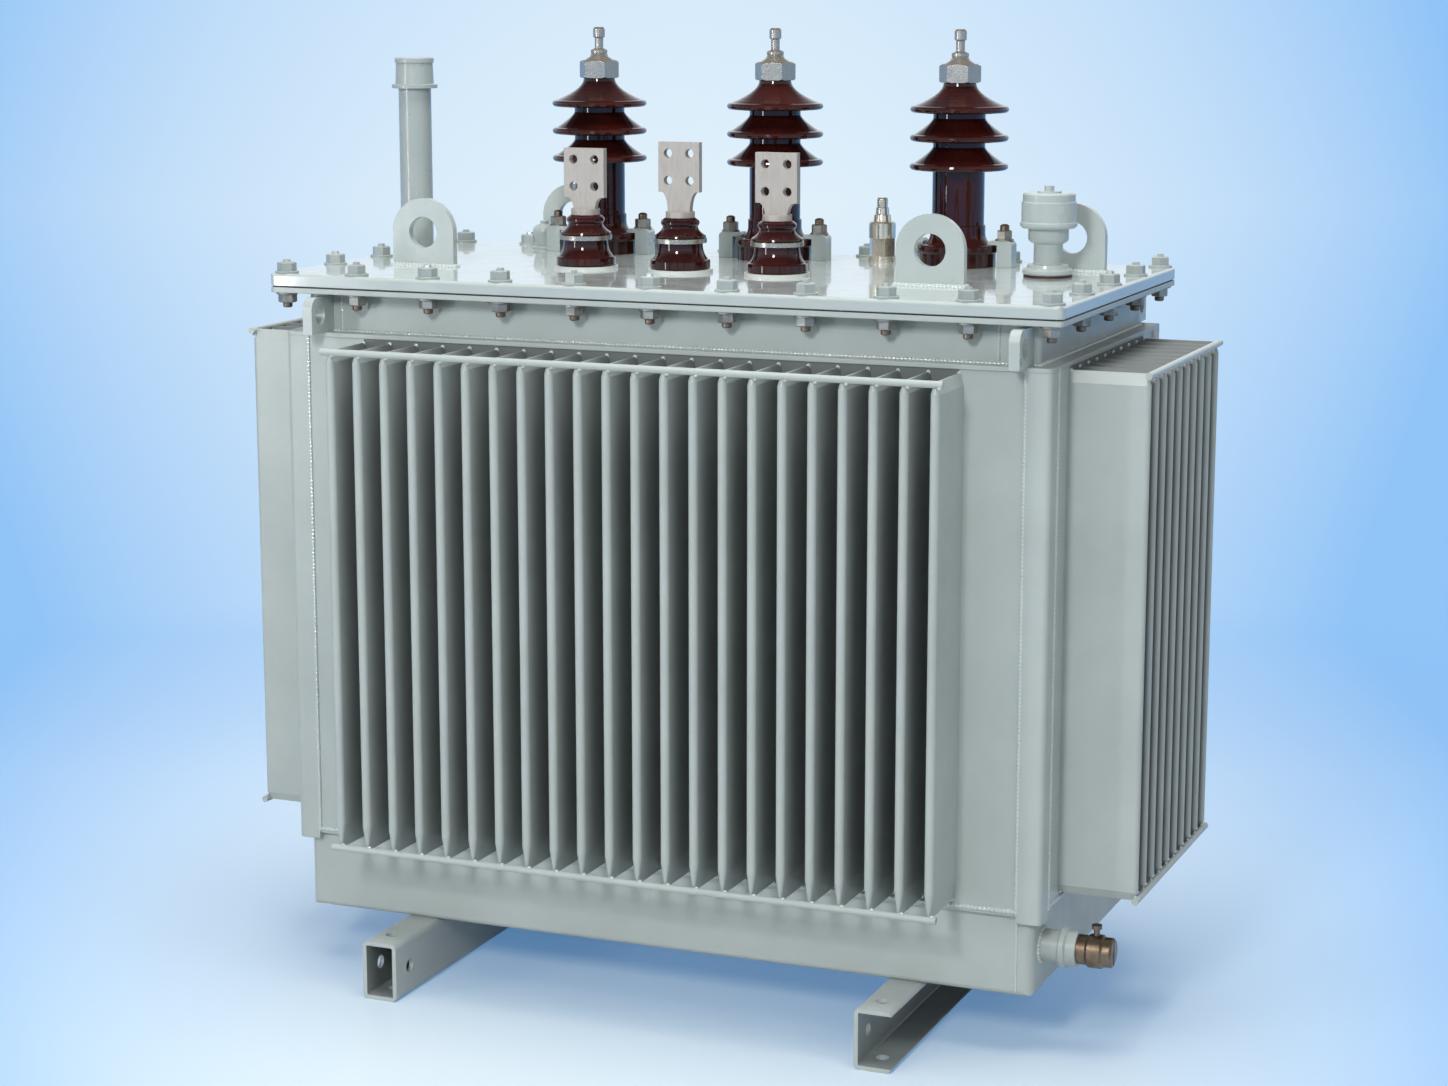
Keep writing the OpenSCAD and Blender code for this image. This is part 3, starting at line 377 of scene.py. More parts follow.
def finish(name, group, values, bump, metallic=0.0, coat=0.0, coat_rough=0.05, specular=0.5, round_edge=0.0):
    """A material whose colour, roughness and bump come from one of the shared groups."""
    material = bpy.data.materials.new(name)
    material.use_nodes = True
    tree = material.node_tree
    shader = tree.nodes["Principled BSDF"]
    coords = add_node(tree, "ShaderNodeTexCoord", -900, 0)
    effect = add_node(tree, "ShaderNodeGroup", -600, 0, node_tree=group)
    tree.links.new(coords.outputs["Object"], effect.inputs["Vector"])
    for socket, value in values.items():
        if hasattr(value, "__len__") and effect.inputs[socket].type == "RGBA":
            value = (*value[:3], 1.0)
        effect.inputs[socket].default_value = value
    tree.links.new(effect.outputs["Colour"], shader.inputs["Base Color"])
    tree.links.new(effect.outputs["Roughness"], shader.inputs["Roughness"])
    relief = add_node(tree, "ShaderNodeBump", -300, -250)
    relief.inputs["Strength"].default_value = bump
    relief.inputs["Distance"].default_value = 0.0006
    tree.links.new(effect.outputs["Height"], relief.inputs["Height"])
    if round_edge:
        edge = add_node(tree, "ShaderNodeBevel", -600, -350, samples=4)
        edge.inputs["Radius"].default_value = round_edge
        tree.links.new(edge.outputs["Normal"], relief.inputs["Normal"])
    tree.links.new(relief.outputs["Normal"], shader.inputs["Normal"])
    for socket, value in (("Metallic", metallic), ("Coat Weight", coat), ("Coat Roughness", coat_rough),
                          ("Specular IOR Level", specular)):
        shader.inputs[socket].default_value = value
    return material


def shade(tone, by):
    return tuple(min(1.0, c * by) for c in tone)


FINISHES = {}
FINISH_BY_START = (
    ("hv_terminal", "nickel"), ("lv_rings", "nickel"), ("lv_flag", "flag"), ("lv_base", "ring"),
    ("drain_valve", "bronze"), ("drain_stub", "pipe"), ("filler", "pipe"), ("relief", "valve"),
    ("cover_gasket", "rubber"), ("tap_changer_gasket", "red_rubber"), ("cover_plate", "cover"),
    ("left_skid", "rails"), ("right_skid", "rails"), ("bottom_trough", "tank"), ("corner_posts", "tank"),
    ("tank_collar", "tank"), ("tank_flange", "tank"),
)


class TRANSFORMER_OT_finishes(bpy.types.Operator):
    """Make the finishes and give one to every CAD node"""
    bl_idname = "transformer.finishes"
    bl_label = "Finishes"

    def execute(self, context):
        c = context.scene.transformer_finish
        paint, metal, glaze = sprayed_paint_group(), turned_metal_group(), glaze_group()

        def painted(key, name, tone, cloud, dust, gloss, bump, peel=1.0, **surface):
            values = {"Colour": tone, "Cloud": cloud, "Dust": dust, "Gloss": gloss, "Peel": peel}
            FINISHES[key] = finish(name, paint, values, bump, **surface)

        def worked(key, name, tone, stain, stained, gloss, bump, grain=(1.0, 1.0, 6.0), **surface):
            values = {"Colour": tone, "Stain": stain, "Stained": stained, "Gloss": gloss, "Grain": grain}
            FINISHES[key] = finish(name, metal, values, bump, **surface)

        sheet = {"coat": 0.1, "coat_rough": 0.12, "specular": 0.35}
        turned = {"round_edge": 0.0008}
        painted("tank", "tank_paint", c.paint, 0.06, 0.12, 0.34, 0.12, round_edge=0.002, **sheet)
        painted("fins", "fin_paint", shade(c.paint, 0.98), 0.06, 0.16, 0.34, 0.1, **sheet)
        # The cover takes a lighter copy of the tank paint: painted light on the top.
        painted("cover", "cover_lit_paint", shade(c.paint, 1.08), 0.04, 0.06, 0.16, 0.05, peel=0.5,
                coat=0.8, coat_rough=0.04, round_edge=0.002)
        painted("rails", "rail_paint", c.paint, 0.08, 0.3, 0.36, 0.16, coat=0.2, coat_rough=0.15, round_edge=0.0015)
        painted("fitting", "fitting_paint", shade(c.paint, 1.02), 0.05, 0.08, 0.3, 0.1,
                coat=0.35, coat_rough=0.1, round_edge=0.0012)
        # The filler pipe and drain stub take a darker copy of the tank paint: painted shade.
        painted("pipe", "pipe_shaded_paint", shade(c.paint, 0.84), 0.06, 0.1, 0.3, 0.1,
                coat=0.4, coat_rough=0.08, round_edge=0.0012)
        # The beads take a lighter copy of the tank paint: a painted highlight.
        painted("weld", "weld_highlight_paint", shade(c.paint, 1.2), 0.1, 0.1, 0.2, 0.35, coat=0.8, coat_rough=0.06)
        # The bolts take a darker copy of the tank paint: painted shade.
        painted("bolt", "bolt_shaded_paint", shade(c.paint, 0.8), 0.12, 0.1, 0.33, 0.2, coat=0.3, coat_rough=0.1)
        FINISHES["porcelain"] = finish(
            "brown_porcelain", glaze, {"Colour": c.porcelain}, 0.05, coat=0.75, coat_rough=0.02, specular=0.05)
        worked("flag", "tinned_flag", c.tin, (0.42, 0.38, 0.34), 0.35, 0.46, 0.18, (1.0, 1.0, 0.15),
               metallic=0.25, round_edge=0.001)
        worked("nickel", "nickel_nut", c.nickel, (0.3, 0.28, 0.25), 0.25, 0.24, 0.05, metallic=0.75, **turned)
        worked("bronze", "turned_bronze", c.bronze, (0.09, 0.05, 0.03), 0.5, 0.32, 0.2, metallic=1.0, **turned)
        worked("valve", "relief_nickel", c.valve, (0.36, 0.28, 0.17), 0.3, 0.14, 0.15, metallic=0.85, **turned)
        worked("zinc", "zinc_plate", c.zinc, (0.12, 0.105, 0.085), 0.6, 0.4, 0.2, metallic=0.8)
        painted("rubber", "gasket_rubber", c.rubber, 0.3, 0.2, 0.7, 0.2)
        painted("red_rubber", "red_gasket_rubber", c.red_rubber, 0.25, 0.05, 0.55, 0.2)
        painted("ring", "pale_ring", c.washer, 0.06, 0.1, 0.3, 0.1, coat=0.3)
        # Painted shade between the fins and inside the rails.
        self.darken(FINISHES["fins"], gap_group(), 0.14, 0.75, 0.66)
        self.darken(FINISHES["rails"], rail_group(), 0.0, 1.0, 0.45)
        for name, node in frame["nodes"].items():
            material = FINISHES[self.key_of(name)]
            if not node.material_slots:
                node.data.materials.append(material)
            for held in node.material_slots:
                held.material = material
        return {"FINISHED"}

    @staticmethod
    def darken(material, group, low, high, most):
        """Painted shade where a mask is high, as between two fins or inside a rail."""
        tree = material.node_tree
        shader = tree.nodes["Principled BSDF"]
        mask = add_node(tree, "ShaderNodeGroup", -600, 350, node_tree=group)
        tree.links.new(tree.nodes["Texture Coordinate"].outputs["Object"], mask.inputs["Vector"])
        amount = remap(tree, mask.outputs["Depth"], low, high, 0.0, most, x=-400, y=350)
        unshaded = shader.inputs["Base Color"].links[0].from_socket
        # Mix towards near-black: the painted shade.
        shaded_colour = mix(tree, amount, unshaded, (0.016, 0.019, 0.018, 1), x=-200, y=300)
        tree.links.new(shaded_colour, shader.inputs["Base Color"])

    @staticmethod
    def key_of(name):
        """Which finish a CAD node takes."""
        if "porcelain" in name:
            return "porcelain"
        if "corrugated" in name or "fin_rods" in name:
            return "fins"
        for start, key in FINISH_BY_START:
            if name.startswith(start):
                return key
        return "fitting"


# Modelling helpers

def clear_selection():
    if bpy.context.object and bpy.context.object.mode != "OBJECT":
        bpy.ops.object.mode_set(mode="OBJECT")
    bpy.ops.object.select_all(action="DESELECT")


def pick_faces(piece, test):
    """Selects the faces of the piece in edit mode that pass the test, by centre and normal."""
    bpy.ops.mesh.select_mode(type="FACE")
    bpy.ops.mesh.select_all(action="DESELECT")
    mesh = bmesh.from_edit_mesh(piece.data)
    for face in mesh.faces:
        if test(face.calc_center_median(), face.normal):
            face.select_set(True)
    bmesh.update_edit_mesh(piece.data)


def prism(sides, radius, low, high, at, chamfer, up=True):
    """An upright prism with a chamfered step raised from its outer end."""
    clear_selection()
    bpy.ops.mesh.primitive_cylinder_add(
        vertices=sides, radius=radius, depth=high - low, location=(at[0], at[1], (low + high) / 2))
    piece = bpy.context.object
    bpy.ops.object.transform_apply(location=True, rotation=True, scale=True)
    bpy.ops.object.mode_set(mode="EDIT")
    side = 1 if up else -1
    pick_faces(piece, lambda centre, normal: normal.z * side > 0.9)
    bpy.ops.mesh.extrude_region_move(TRANSFORM_OT_translate={"value": (0, 0, side * chamfer * 0.6)})
    narrow = (radius - chamfer) / radius
    bpy.ops.transform.resize(value=(narrow, narrow, 1), center_override=(at[0], at[1], 0))
    bpy.ops.object.mode_set(mode="OBJECT")
    return piece


def crown(piece, radius, rise, at):
    """Raises a small tapered stud end from the top face of a prism."""
    bpy.ops.object.mode_set(mode="EDIT")
    top = max(v.co.z for v in piece.data.vertices)
    pick_faces(piece, lambda centre, normal: normal.z > 0.9 and centre.z > top - 1e-5)
    bpy.ops.mesh.inset(thickness=radius * 0.7, depth=0)
    bpy.ops.mesh.extrude_region_move(TRANSFORM_OT_translate={"value": (0, 0, rise)})
    bpy.ops.transform.resize(value=(0.8, 0.8, 1), center_override=(at[0], at[1], 0))
    bpy.ops.object.mode_set(mode="OBJECT")


def paint_piece(piece, key):
    piece.data.materials.clear()
    piece.data.materials.append(FINISHES[key])


def join_as(name, pieces):
    """Joins pieces to one, smooths its round faces and rides it on the frame."""
    clear_selection()
    for piece in pieces:
        piece.select_set(True)
    bpy.context.view_layer.objects.active = pieces[0]
    if len(pieces) > 1:
        bpy.ops.object.join()
    whole = bpy.context.object
    whole.name = whole.data.name = name
    bpy.ops.object.shade_smooth_by_angle(angle=math.radians(32))
    bpy.ops.object.transform_apply(location=True, rotation=True, scale=True)
    return settle(whole)


def settle(piece):
    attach(piece, "root")
    return piece


def copy_to(piece, name, shift, turn):
    """A copy with its own mesh, turned about the first piece's axis and moved to its place."""
    other = piece.copy()
    other.data = piece.data.copy()
    other.name = other.data.name = name
    bpy.context.scene.collection.objects.link(other)
    at = Vector(piece["axis_at"])
    turned = Matrix.Rotation(turn, 4, "Z") @ Matrix.Translation(-at)
    other.data.transform(Matrix.Translation(at + Vector(shift)) @ turned)
    return settle(other)


def repeat(first, base, places, twist):
    """Copies of a first fastener at the other places, each turned a little further."""
    at = places[0]
    first["axis_at"] = (at[0], at[1], 0.0)
    for i, place in enumerate(places[1:], 2):
        shift = (place[0] - at[0], place[1] - at[1], 0)
        copy_to(first, base.format(i), shift, math.radians(twist * i % 60))


class TRANSFORMER_OT_cover_bolts(bpy.types.Operator):
    """Bolt the cover down: one bolt with washers, nut and stud tip, copied round the cover"""
    bl_idname = "transformer.cover_bolts"
    bl_label = "Cover bolts"

    def execute(self, context):
        s = context.scene.transformer_fasteners
        x, y = COVER[1].x - s.edge_x, COVER[1].y - s.edge_y
        top, low = COVER[1].z, FLANGE[0].z
        xs = [-x + 2 * x * i / (s.long_count - 1) for i in range(s.long_count)]
        ys = [-y + 2 * y * i / (s.short_count - 1) for i in range(s.short_count)]
        places = [(a, -y) for a in xs] + [(x, b) for b in ys[1:-1]]
        places += [(-a, -b) for a, b in places]
        at = places[0]
        corner = s.flats / math.sqrt(3)
        seat, rest = top + 0.0028, low - 0.0026
        washer = prism(28, s.washer, top, top + 0.0022, at, 0.001)
        head = prism(6, corner, seat, seat + s.head, at, 0.0022)
        crown(head, s.stud, 0.0035, at)
        under = prism(28, s.washer * 0.96, rest, low, at, 0.0008, up=False)
        nut = prism(6, corner * 0.96, rest - s.head, rest, at, 0.002, up=False)
        tip = prism(16, s.stud, low - s.head - 0.0095, low - s.head, at, 0.0018, up=False)
        for piece, key in ((washer, "bolt"), (head, "bolt"), (under, "zinc"), (nut, "zinc"), (tip, "bronze")):
            paint_piece(piece, key)
        first = join_as("cover_bolt_01", [head, washer, under, nut, tip])
        repeat(first, "cover_bolt_{:02d}", places, 17)
        return {"FINISHED"}


class TRANSFORMER_OT_clamp_nuts(bpy.types.Operator):
    """Put a nut, washer and domed stud on each bushing clamp"""
    bl_idname = "transformer.clamp_nuts"
    bl_label = "Clamp nuts"

    def execute(self, context):
        s = context.scene.transformer_fasteners
        low, high = edges("hv_clamps")
        boxes = [edges(f"hv_porcelain_{n}") for n in ("left", "middle", "right")]
        middles = [(a.x + b.x) / 2 for a, b in boxes]
        stud_inset = 0.0135
        reach = high.x - middles[2] - stud_inset
        places = [(m + side * reach, (low.y + high.y) / 2) for m in middles for side in (-1, 1)]
        at, top = places[0], high.z
        corner = s.clamp_flats / math.sqrt(3)
        seat = top + 0.0018
        washer = prism(24, corner * 1.12, top, seat, at, 0.0006)
        nut = prism(6, corner, seat, top + 0.0128, at, 0.0018)
        stud = prism(16, corner * 0.56, top + 0.012, top + 0.0205, at, 0.003)
        for piece, key in ((washer, "zinc"), (nut, "zinc"), (stud, "bronze")):
            paint_piece(piece, key)
        first = join_as("clamp_nut_1", [nut, washer, stud])
        repeat(first, "clamp_nut_{}", places, 23)
        return {"FINISHED"}


def ripple(at, size):
    """One ripple of a weld bead: a ball drawn to its three half widths at its place."""
    clear_selection()
    bpy.ops.mesh.primitive_uv_sphere_add(segments=8, ring_count=6, radius=1.0, location=(0, 0, 0))
    piece = bpy.context.object
    bpy.ops.object.mode_set(mode="EDIT")
    bpy.ops.mesh.select_all(action="SELECT")
    bpy.ops.transform.resize(value=size, center_override=(0, 0, 0))
    bpy.ops.transform.translate(value=at)
    bpy.ops.object.mode_set(mode="OBJECT")
    return piece


def spots(at, size, step, count):
    """A row of weld spots."""
    piece = ripple(at, size)
    row = piece.modifiers.new("Row", "ARRAY")
    row.use_relative_offset = False
    row.use_constant_offset = True
    row.constant_offset_displace = step
    row.count = count
    bpy.ops.object.modifier_apply(modifier=row.name)
    return piece


def bead(start, end, radius, pitch):
    """A straight bead of overlapping ripples between two points."""
    start, end = Vector(start), Vector(end)
    run = end - start
    count = max(2, round(run.length / pitch) + 1)
    along = [radius + (pitch * 0.85 - radius) * min(1.0, abs(c)) for c in run.normalized()]
    return spots(start, along, run / (count - 1), count)


def upright(x, y, low, high, radius, pitch):
    """A bead that runs straight up."""
    return bead((x, y, low), (x, y, high), radius, pitch)


def ring_bead(centre, radius, thick, pitch, axis):
    """A bead all the way round a fitting."""
    centre, axis = Vector(centre), Vector(axis)
    side = Vector((0, 1, 0)) if abs(axis.x) > 0.5 else Vector((1, 0, 0))
    steps = max(12, round(2 * math.pi * radius / pitch))
    piece = ripple(centre + side * radius, (thick, thick, thick))
    bpy.ops.object.mode_set(mode="EDIT")
    bpy.ops.mesh.select_all(action="SELECT")
    bpy.ops.mesh.spin(steps=steps, dupli=True, angle=2 * math.pi, center=centre, axis=axis)
    bpy.ops.object.mode_set(mode="OBJECT")
    return piece


def frame_beads(low, high, radius, pitch):
    """Four straight beads round an upright rectangle at one height."""
    (x0, y0), (x1, y1), z = low[:2], high[:2], low[2]
    corners = [(x0, y0, z), (x1, y0, z), (x1, y1, z), (x0, y1, z)]
    return [bead(corners[i], corners[(i + 1) % 4], radius, pitch) for i in range(4)]


def weld(name, pieces):
    for piece in pieces:
        paint_piece(piece, "weld")
    return join_as(name, pieces)


class TRANSFORMER_OT_tank_welds(bpy.types.Operator):
    """Run weld beads along the seams of the tank"""
    bl_idname = "transformer.tank_welds"
    bl_label = "Tank seams"

    def execute(self, context):
        s = context.scene.transformer_welds
        wall_x, wall_y = FRONT_WALL[1].x, edges("right_corrugated_wall")[1].y
        post_x, post_y = POSTS[1].x, POSTS[1].y
        z0, z1 = FRONT_WALL[0].z, FRONT_WALL[1].z
        corners = [(sx, sy) for sx in (-1, 1) for sy in (-1, 1)]
        sunk = 0.0015
        seams = []
        for sx, sy in corners:
            seams.append(upright(sx * wall_x, sy * (post_y - sunk), z0, z1, s.seam * 0.75, s.pitch))
            seams.append(upright(sx * (post_x - sunk), sy * wall_y, z0, z1, s.seam, s.pitch))
        weld("post_seams", seams)
        foot_x, foot_y = post_x - 0.0025, post_y - 0.0025
        low = [bead((-wall_x, sy * foot_y, z0), (wall_x, sy * foot_y, z0), s.seam, s.pitch) for sy in (-1, 1)]
        low += [bead((sx * foot_x, -wall_y, z0), (sx * foot_x, wall_y, z0), s.seam, s.pitch) for sx in (-1, 1)]
        weld("wall_foot_seams", low)
        upper = [v.co for v in frame["nodes"]["tank_collar"].data.vertices if v.co.z > COLLAR[1].z - 0.004]
        neck_x, neck_y = max(c.x for c in upper), max(c.y for c in upper)
        ledge, fold_inset = COLLAR[0].z + 0.006, 0.052
        seams = frame_beads((-neck_x, -neck_y, ledge), (neck_x, neck_y, ledge), s.seam, s.pitch)
        seams += [upright(sx * (neck_x - fold_inset), sy * neck_y, ledge, COLLAR[1].z, s.seam * 0.6, s.pitch)
                  for sx, sy in corners]
        weld("collar_seams", seams)
        fold_x, fold_y = TROUGH[1].x - 0.032, TROUGH[1].y - 0.008
        weld("trough_seams", [upright(fold_x, sy * fold_y, TROUGH[0].z + 0.008, z0 - 0.014, s.seam * 0.55, s.pitch)
                              for sy in (-1, 1)])
        return {"FINISHED"}


class TRANSFORMER_OT_fin_welds(bpy.types.Operator):
    """Set a closing weld at the top and foot of every fin, and a tack where it meets a rod"""
    bl_idname = "transformer.fin_welds"
    bl_label = "Fin welds"

    def execute(self, context):
        half = FRONT_RODS[1].x - FIN_INSET
        step = 2 * half / (LONG_FINS - 1)
        ends = ((FRONT_WALL[1].z - 0.006, 0.0035), (FRONT_WALL[0].z + 0.008, 0.004))
        rod_inner, tip_inset, fin_side = 0.0092, 0.0055, 0.006
        rods = (FRONT_RODS[0].z + rod_inner, FRONT_RODS[1].z - rod_inner)
        for side, name in ((-1, "front"), (1, "rear")):
            face, tip = side * (POSTS[1].y - 0.001), side * (FRONT_RODS[1].y - tip_inset)
            rows = [spots((-half, face, z), (0.0032, 0.003, tall), (step, 0, 0), LONG_FINS) for z, tall in ends]
            rows += [spots((fin_side - half, tip, z), (0.003, 0.0022, 0.0022), (step, 0, 0), LONG_FINS)
                     for z in rods]
            weld(f"{name}_fin_welds", rows)
        half = END_RODS[1].y - FIN_INSET
        fins = round(2 * half / step) + 1
        for side, name in ((-1, "left"), (1, "right")):
            face, tip = side * (POSTS[1].x - 0.001), side * (END_RODS[1].x - tip_inset)
            rows = [spots((face, -half, z), (0.003, 0.0032, tall), (0, step, 0), fins) for z, tall in ends]
            rows += [spots((tip, -fin_side - half, z), (0.0022, 0.003, 0.0022), (0, step, 0), fins) for z in rods]
            weld(f"{name}_fin_welds", rows)
        return {"FINISHED"}


class TRANSFORMER_OT_fitting_welds(bpy.types.Operator):
    """Run weld beads round the lugs, the filler pipe, the drain stub and the rails"""
    bl_idname = "transformer.fitting_welds"
    bl_label = "Fitting welds"

    def execute(self, context):
        s = context.scene.transformer_welds
        pipe_radius, stub_radius = 0.0225, 0.0215
        for name in ("front_left", "front_right", "rear_left", "rear_right"):
            low, high = edges(f"{name}_lifting_lug")
            weld(f"{name}_lug_weld", frame_beads(low, high, s.fillet, s.pitch))
        low, high = edges("filler_pipe")
        centre = ((low.x + high.x) / 2, (low.y + high.y) / 2, low.z + 0.004)
        weld("filler_pipe_weld", [ring_bead(centre, pipe_radius, s.seam, s.pitch, (0, 0, 1))])
        low, high = edges("drain_stub")
        centre = (low.x, (low.y + high.y) / 2, (low.z + high.z) / 2)
        weld("drain_stub_weld", [ring_bead(centre, stub_radius, s.seam, s.pitch, (1, 0, 0))])
        rows = []
        for node in ("left_skid_rail", "right_skid_rail"):
            low, high = edges(node)
            for sy in (-1, 1):
                y = sy * (TROUGH_HALF - 0.009)
                rows.append(bead((low.x + 0.008, y, high.z), (high.x - 0.008, y, high.z), s.seam, s.pitch))
        weld("rail_welds", rows)
        return {"FINISHED"}


BAND_REACH = 3.3  # distance ahead of the camera at which Near is one


def backdrop_group(s):
    """Tone of floor and backdrop with a painted pool of light: pale along the camera's axis, blue to the sides, in
    bands by depth.
    """
    sockets = [("Across", NUMBER, 0.0), ("Near", NUMBER, 0.0)]
    tree, ins, outs = open_group("BackdropTone", sockets, [("Colour", COLOUR)])
    across = sums(tree, ins.outputs["Across"], 0.011, x=-700, y=0)
    sides = sums(tree, sums(tree, across, across, "MULTIPLY", x=-500, y=0), 14.0, "MULTIPLY", x=-300, y=0)
    bands = add_node(tree, "ShaderNodeValToRGB", -700, -200)
    feed(tree, bands, 0, sums(tree, ins.outputs["Near"], 1 / 1.4, "MULTIPLY", x=-850, y=-200))
    stops = bands.color_ramp.elements
    stops[0].position, stops[1].position = 0.0, 1.0
    for place in (0.13, 0.385, 0.47, 0.714):
        stops.new(place)
    for stop, level in zip(stops, (0.66, 0.8, 0.55, 0.82, 1.0, 0.0)):
        stop.color = (level, level, level, 1)
    pale = sums(tree, bands.outputs[0], 1.25, "MULTIPLY", x=-300, y=-200)
    pale = sums(tree, pale, sides, "SUBTRACT", x=-100, y=-100)
    share = remap(tree, pale, 0.0, 1.0, x=100, y=-100)
    tree.links.new(mix(tree, share, (*s.floor, 1), (*s.glow, 1), x=400, y=0), outs.inputs["Colour"])
    return tree


def turned_axes(tree, output, azimuth):
    """Coordinates turned so that Y points away from the camera's place."""
    coords = add_node(tree, "ShaderNodeTexCoord", -1500)
    turned = add_node(tree, "ShaderNodeMapping", -1300)
    turned.inputs["Rotation"].default_value = (0, 0, -azimuth)
    tree.links.new(coords.outputs[output], turned.inputs["Vector"])
    return coords.outputs[output], split(tree, turned.outputs["Vector"], -1100)


def seen_rays(tree, x, y):
    """Rays that show a surface itself, and those of them that come by gloss or glass."""
    path = add_node(tree, "ShaderNodeLightPath", x, y)
    glossy = sums(tree, path.outputs["Is Glossy Ray"], path.outputs["Is Transmission Ray"], x=x + 180, y=y - 100)
    return sums(tree, path.outputs["Is Camera Ray"], glossy, x=x + 350, y=y), glossy


class TRANSFORMER_OT_stage(bpy.types.Operator):
    """Set the camera, the floor and backdrop, and the lights"""
    bl_idname = "transformer.stage"
    bl_label = "Stage"

    def execute(self, context):
        s = context.scene.transformer_stage
        context.scene.view_settings.view_transform = "Standard"
        a, e = s.azimuth, s.elevation
        ahead = Vector((-math.sin(a) * math.cos(e), math.cos(a) * math.cos(e), -math.sin(e)))
        target = Vector(s.target)
        data = bpy.data.cameras.new("photo_camera")
        data.lens, data.sensor_width, data.sensor_fit = s.lens, 36.0, "HORIZONTAL"
        camera = bpy.data.objects.new("photo_camera", data)
        camera.location = target - ahead * s.distance
        camera.rotation_euler = Euler((math.pi / 2 - e, 0, a))
        context.scene.collection.objects.link(camera)
        context.scene.camera = camera
        tones = backdrop_group(s)
        self.ground(s, tones)
        self.lamp("key_light", s.key, (0.7, 1.0), (0.3, -4.6, 2.9), (0, 0, 0.6))
        self.lamp("fill_light", s.fill, (2.6, 2.6), (3.4, -2.2, 1.9), (0, 0, 0.6), False)
        self.lamp("side_light", s.side, (0.28, 1.8), (-2.4, -3.2, 1.0), (0, 0, 0.7))
        self.lamp("top_light", s.top, (3.0, 3.0), (0.2, -0.4, 4.6), (0, 0, 0.6), False)
        self.lamp("rear_light", s.rear, (3.6, 3.6), (-1.0, 3.0, 4.0), (0, 0, 0.6), False)
        self.sky(context.scene, s, tones)
        return {"FINISHED"}

    @staticmethod
    def ground(s, tones):
        """Round floor: lit and shadowed near the object, then plain in colour, then faded into the backdrop."""
        clear_selection()
        bpy.ops.mesh.primitive_circle_add(vertices=72, radius=1.8, fill_type="NGON", location=(0, 0, 0))
        floor = bpy.context.object
        floor.name = "studio_floor"
        bpy.ops.object.mode_set(mode="EDIT")
        bpy.ops.mesh.select_mode(type="EDGE")
        bpy.ops.mesh.select_all(action="SELECT")
        bpy.ops.mesh.extrude_edges_move(TRANSFORM_OT_translate={"value": (0, 0, 0)})
        bpy.ops.transform.resize(value=(2, 2, 1), center_override=(0, 0, 0))
        bpy.ops.mesh.select_all(action="SELECT")
        bpy.ops.mesh.normals_make_consistent(inside=False)
        bpy.ops.object.mode_set(mode="OBJECT")
        material = bpy.data.materials.new("studio_floor")
        material.use_nodes = True
        tree = material.node_tree
        shader, out = tree.nodes["Principled BSDF"], tree.nodes["Material Output"]
        place, axes = turned_axes(tree, "Object", s.azimuth)
        away = sums(tree, sums(tree, axes["Y"], s.distance, x=-900, y=-100), 2.4, "MAXIMUM", x=-750, y=-100)
        tinted = add_node(tree, "ShaderNodeGroup", -400, 0, node_tree=tones)
        feed(tree, tinted, "Across", sums(tree, axes["X"], away, "DIVIDE", x=-600, y=0))
        feed(tree, tinted, "Near", sums(tree, BAND_REACH, away, "DIVIDE", x=-600, y=-200))
        tint = tinted.outputs["Colour"]
        seen, _ = seen_rays(tree, -600, -400)
        lit = add_node(tree, "ShaderNodeVectorMath", 150, 250, operation="MULTIPLY_ADD")
        lit.inputs[1].default_value = (1 / (1 - s.haze) / s.level,) * 3
        lit.inputs[2].default_value = [-c * s.haze / (1 - s.haze) / s.level for c in s.shadow]
        tree.links.new(tint, lit.inputs[0])
        feed(tree, shader, "Base Color", mix(tree, seen, (0.56, 0.58, 0.6, 1), lit.outputs[0], x=350, y=100))
        shader.inputs["Roughness"].default_value = 0.3
        shader.inputs["Specular IOR Level"].default_value = 0.2
        far = add_node(tree, "ShaderNodeVectorMath", -1100, -700, operation="LENGTH")
        tree.links.new(place, far.inputs[0])
        reach = far.outputs["Value"]
        outer = remap(tree, reach, 0.9, 2.6, x=-900, y=-900)
        # Near the object the floor glows partly in the shadow colour, a painted blue in its shadows; further out
        # the glow takes the backdrop's tone.
        plain = sums(tree, seen, remap(tree, outer, 0.0, 1.0, s.haze, 1.0, x=-700, y=-700), "MULTIPLY", x=0, y=-600)
        glow = add_node(tree, "ShaderNodeEmission", 250, -300)
        tree.links.new(mix(tree, outer, (*s.shadow, 1), tint, x=50, y=-300), glow.inputs["Color"])
        blend = add_node(tree, "ShaderNodeMixShader", 550, 0)
        fade = add_node(tree, "ShaderNodeMixShader", 750, 0)
        clear = add_node(tree, "ShaderNodeBsdfTransparent", 550, -200)
        feed(tree, blend, 0, plain)
        edge = remap(tree, reach, 2.3, 3.5, x=-900, y=-1100)
        feed(tree, fade, 0, sums(tree, seen, edge, "MULTIPLY", x=350, y=-600))
        for node, first, second in ((blend, shader, glow), (fade, blend, clear)):
            tree.links.new(first.outputs[0], node.inputs[1])
            tree.links.new(second.outputs[0], node.inputs[2])
        tree.links.new(fade.outputs[0], out.inputs["Surface"])
        floor.data.materials.append(material)

    @staticmethod
    def lamp(name, power, size, at, aim, mirrored=True):
        """A soft panel; its image shows in glossy surfaces unless told otherwise."""
        data = bpy.data.lights.new(name, "AREA")
        data.shape, data.energy = "RECTANGLE", power
        data.size, data.size_y = size
        lamp = bpy.data.objects.new(name, data)
        lamp.visible_glossy = mirrored
        lamp.location = at
        lamp.rotation_euler = (Vector(aim) - Vector(at)).to_track_quat("-Z", "Y").to_euler()
        bpy.context.scene.collection.objects.link(lamp)

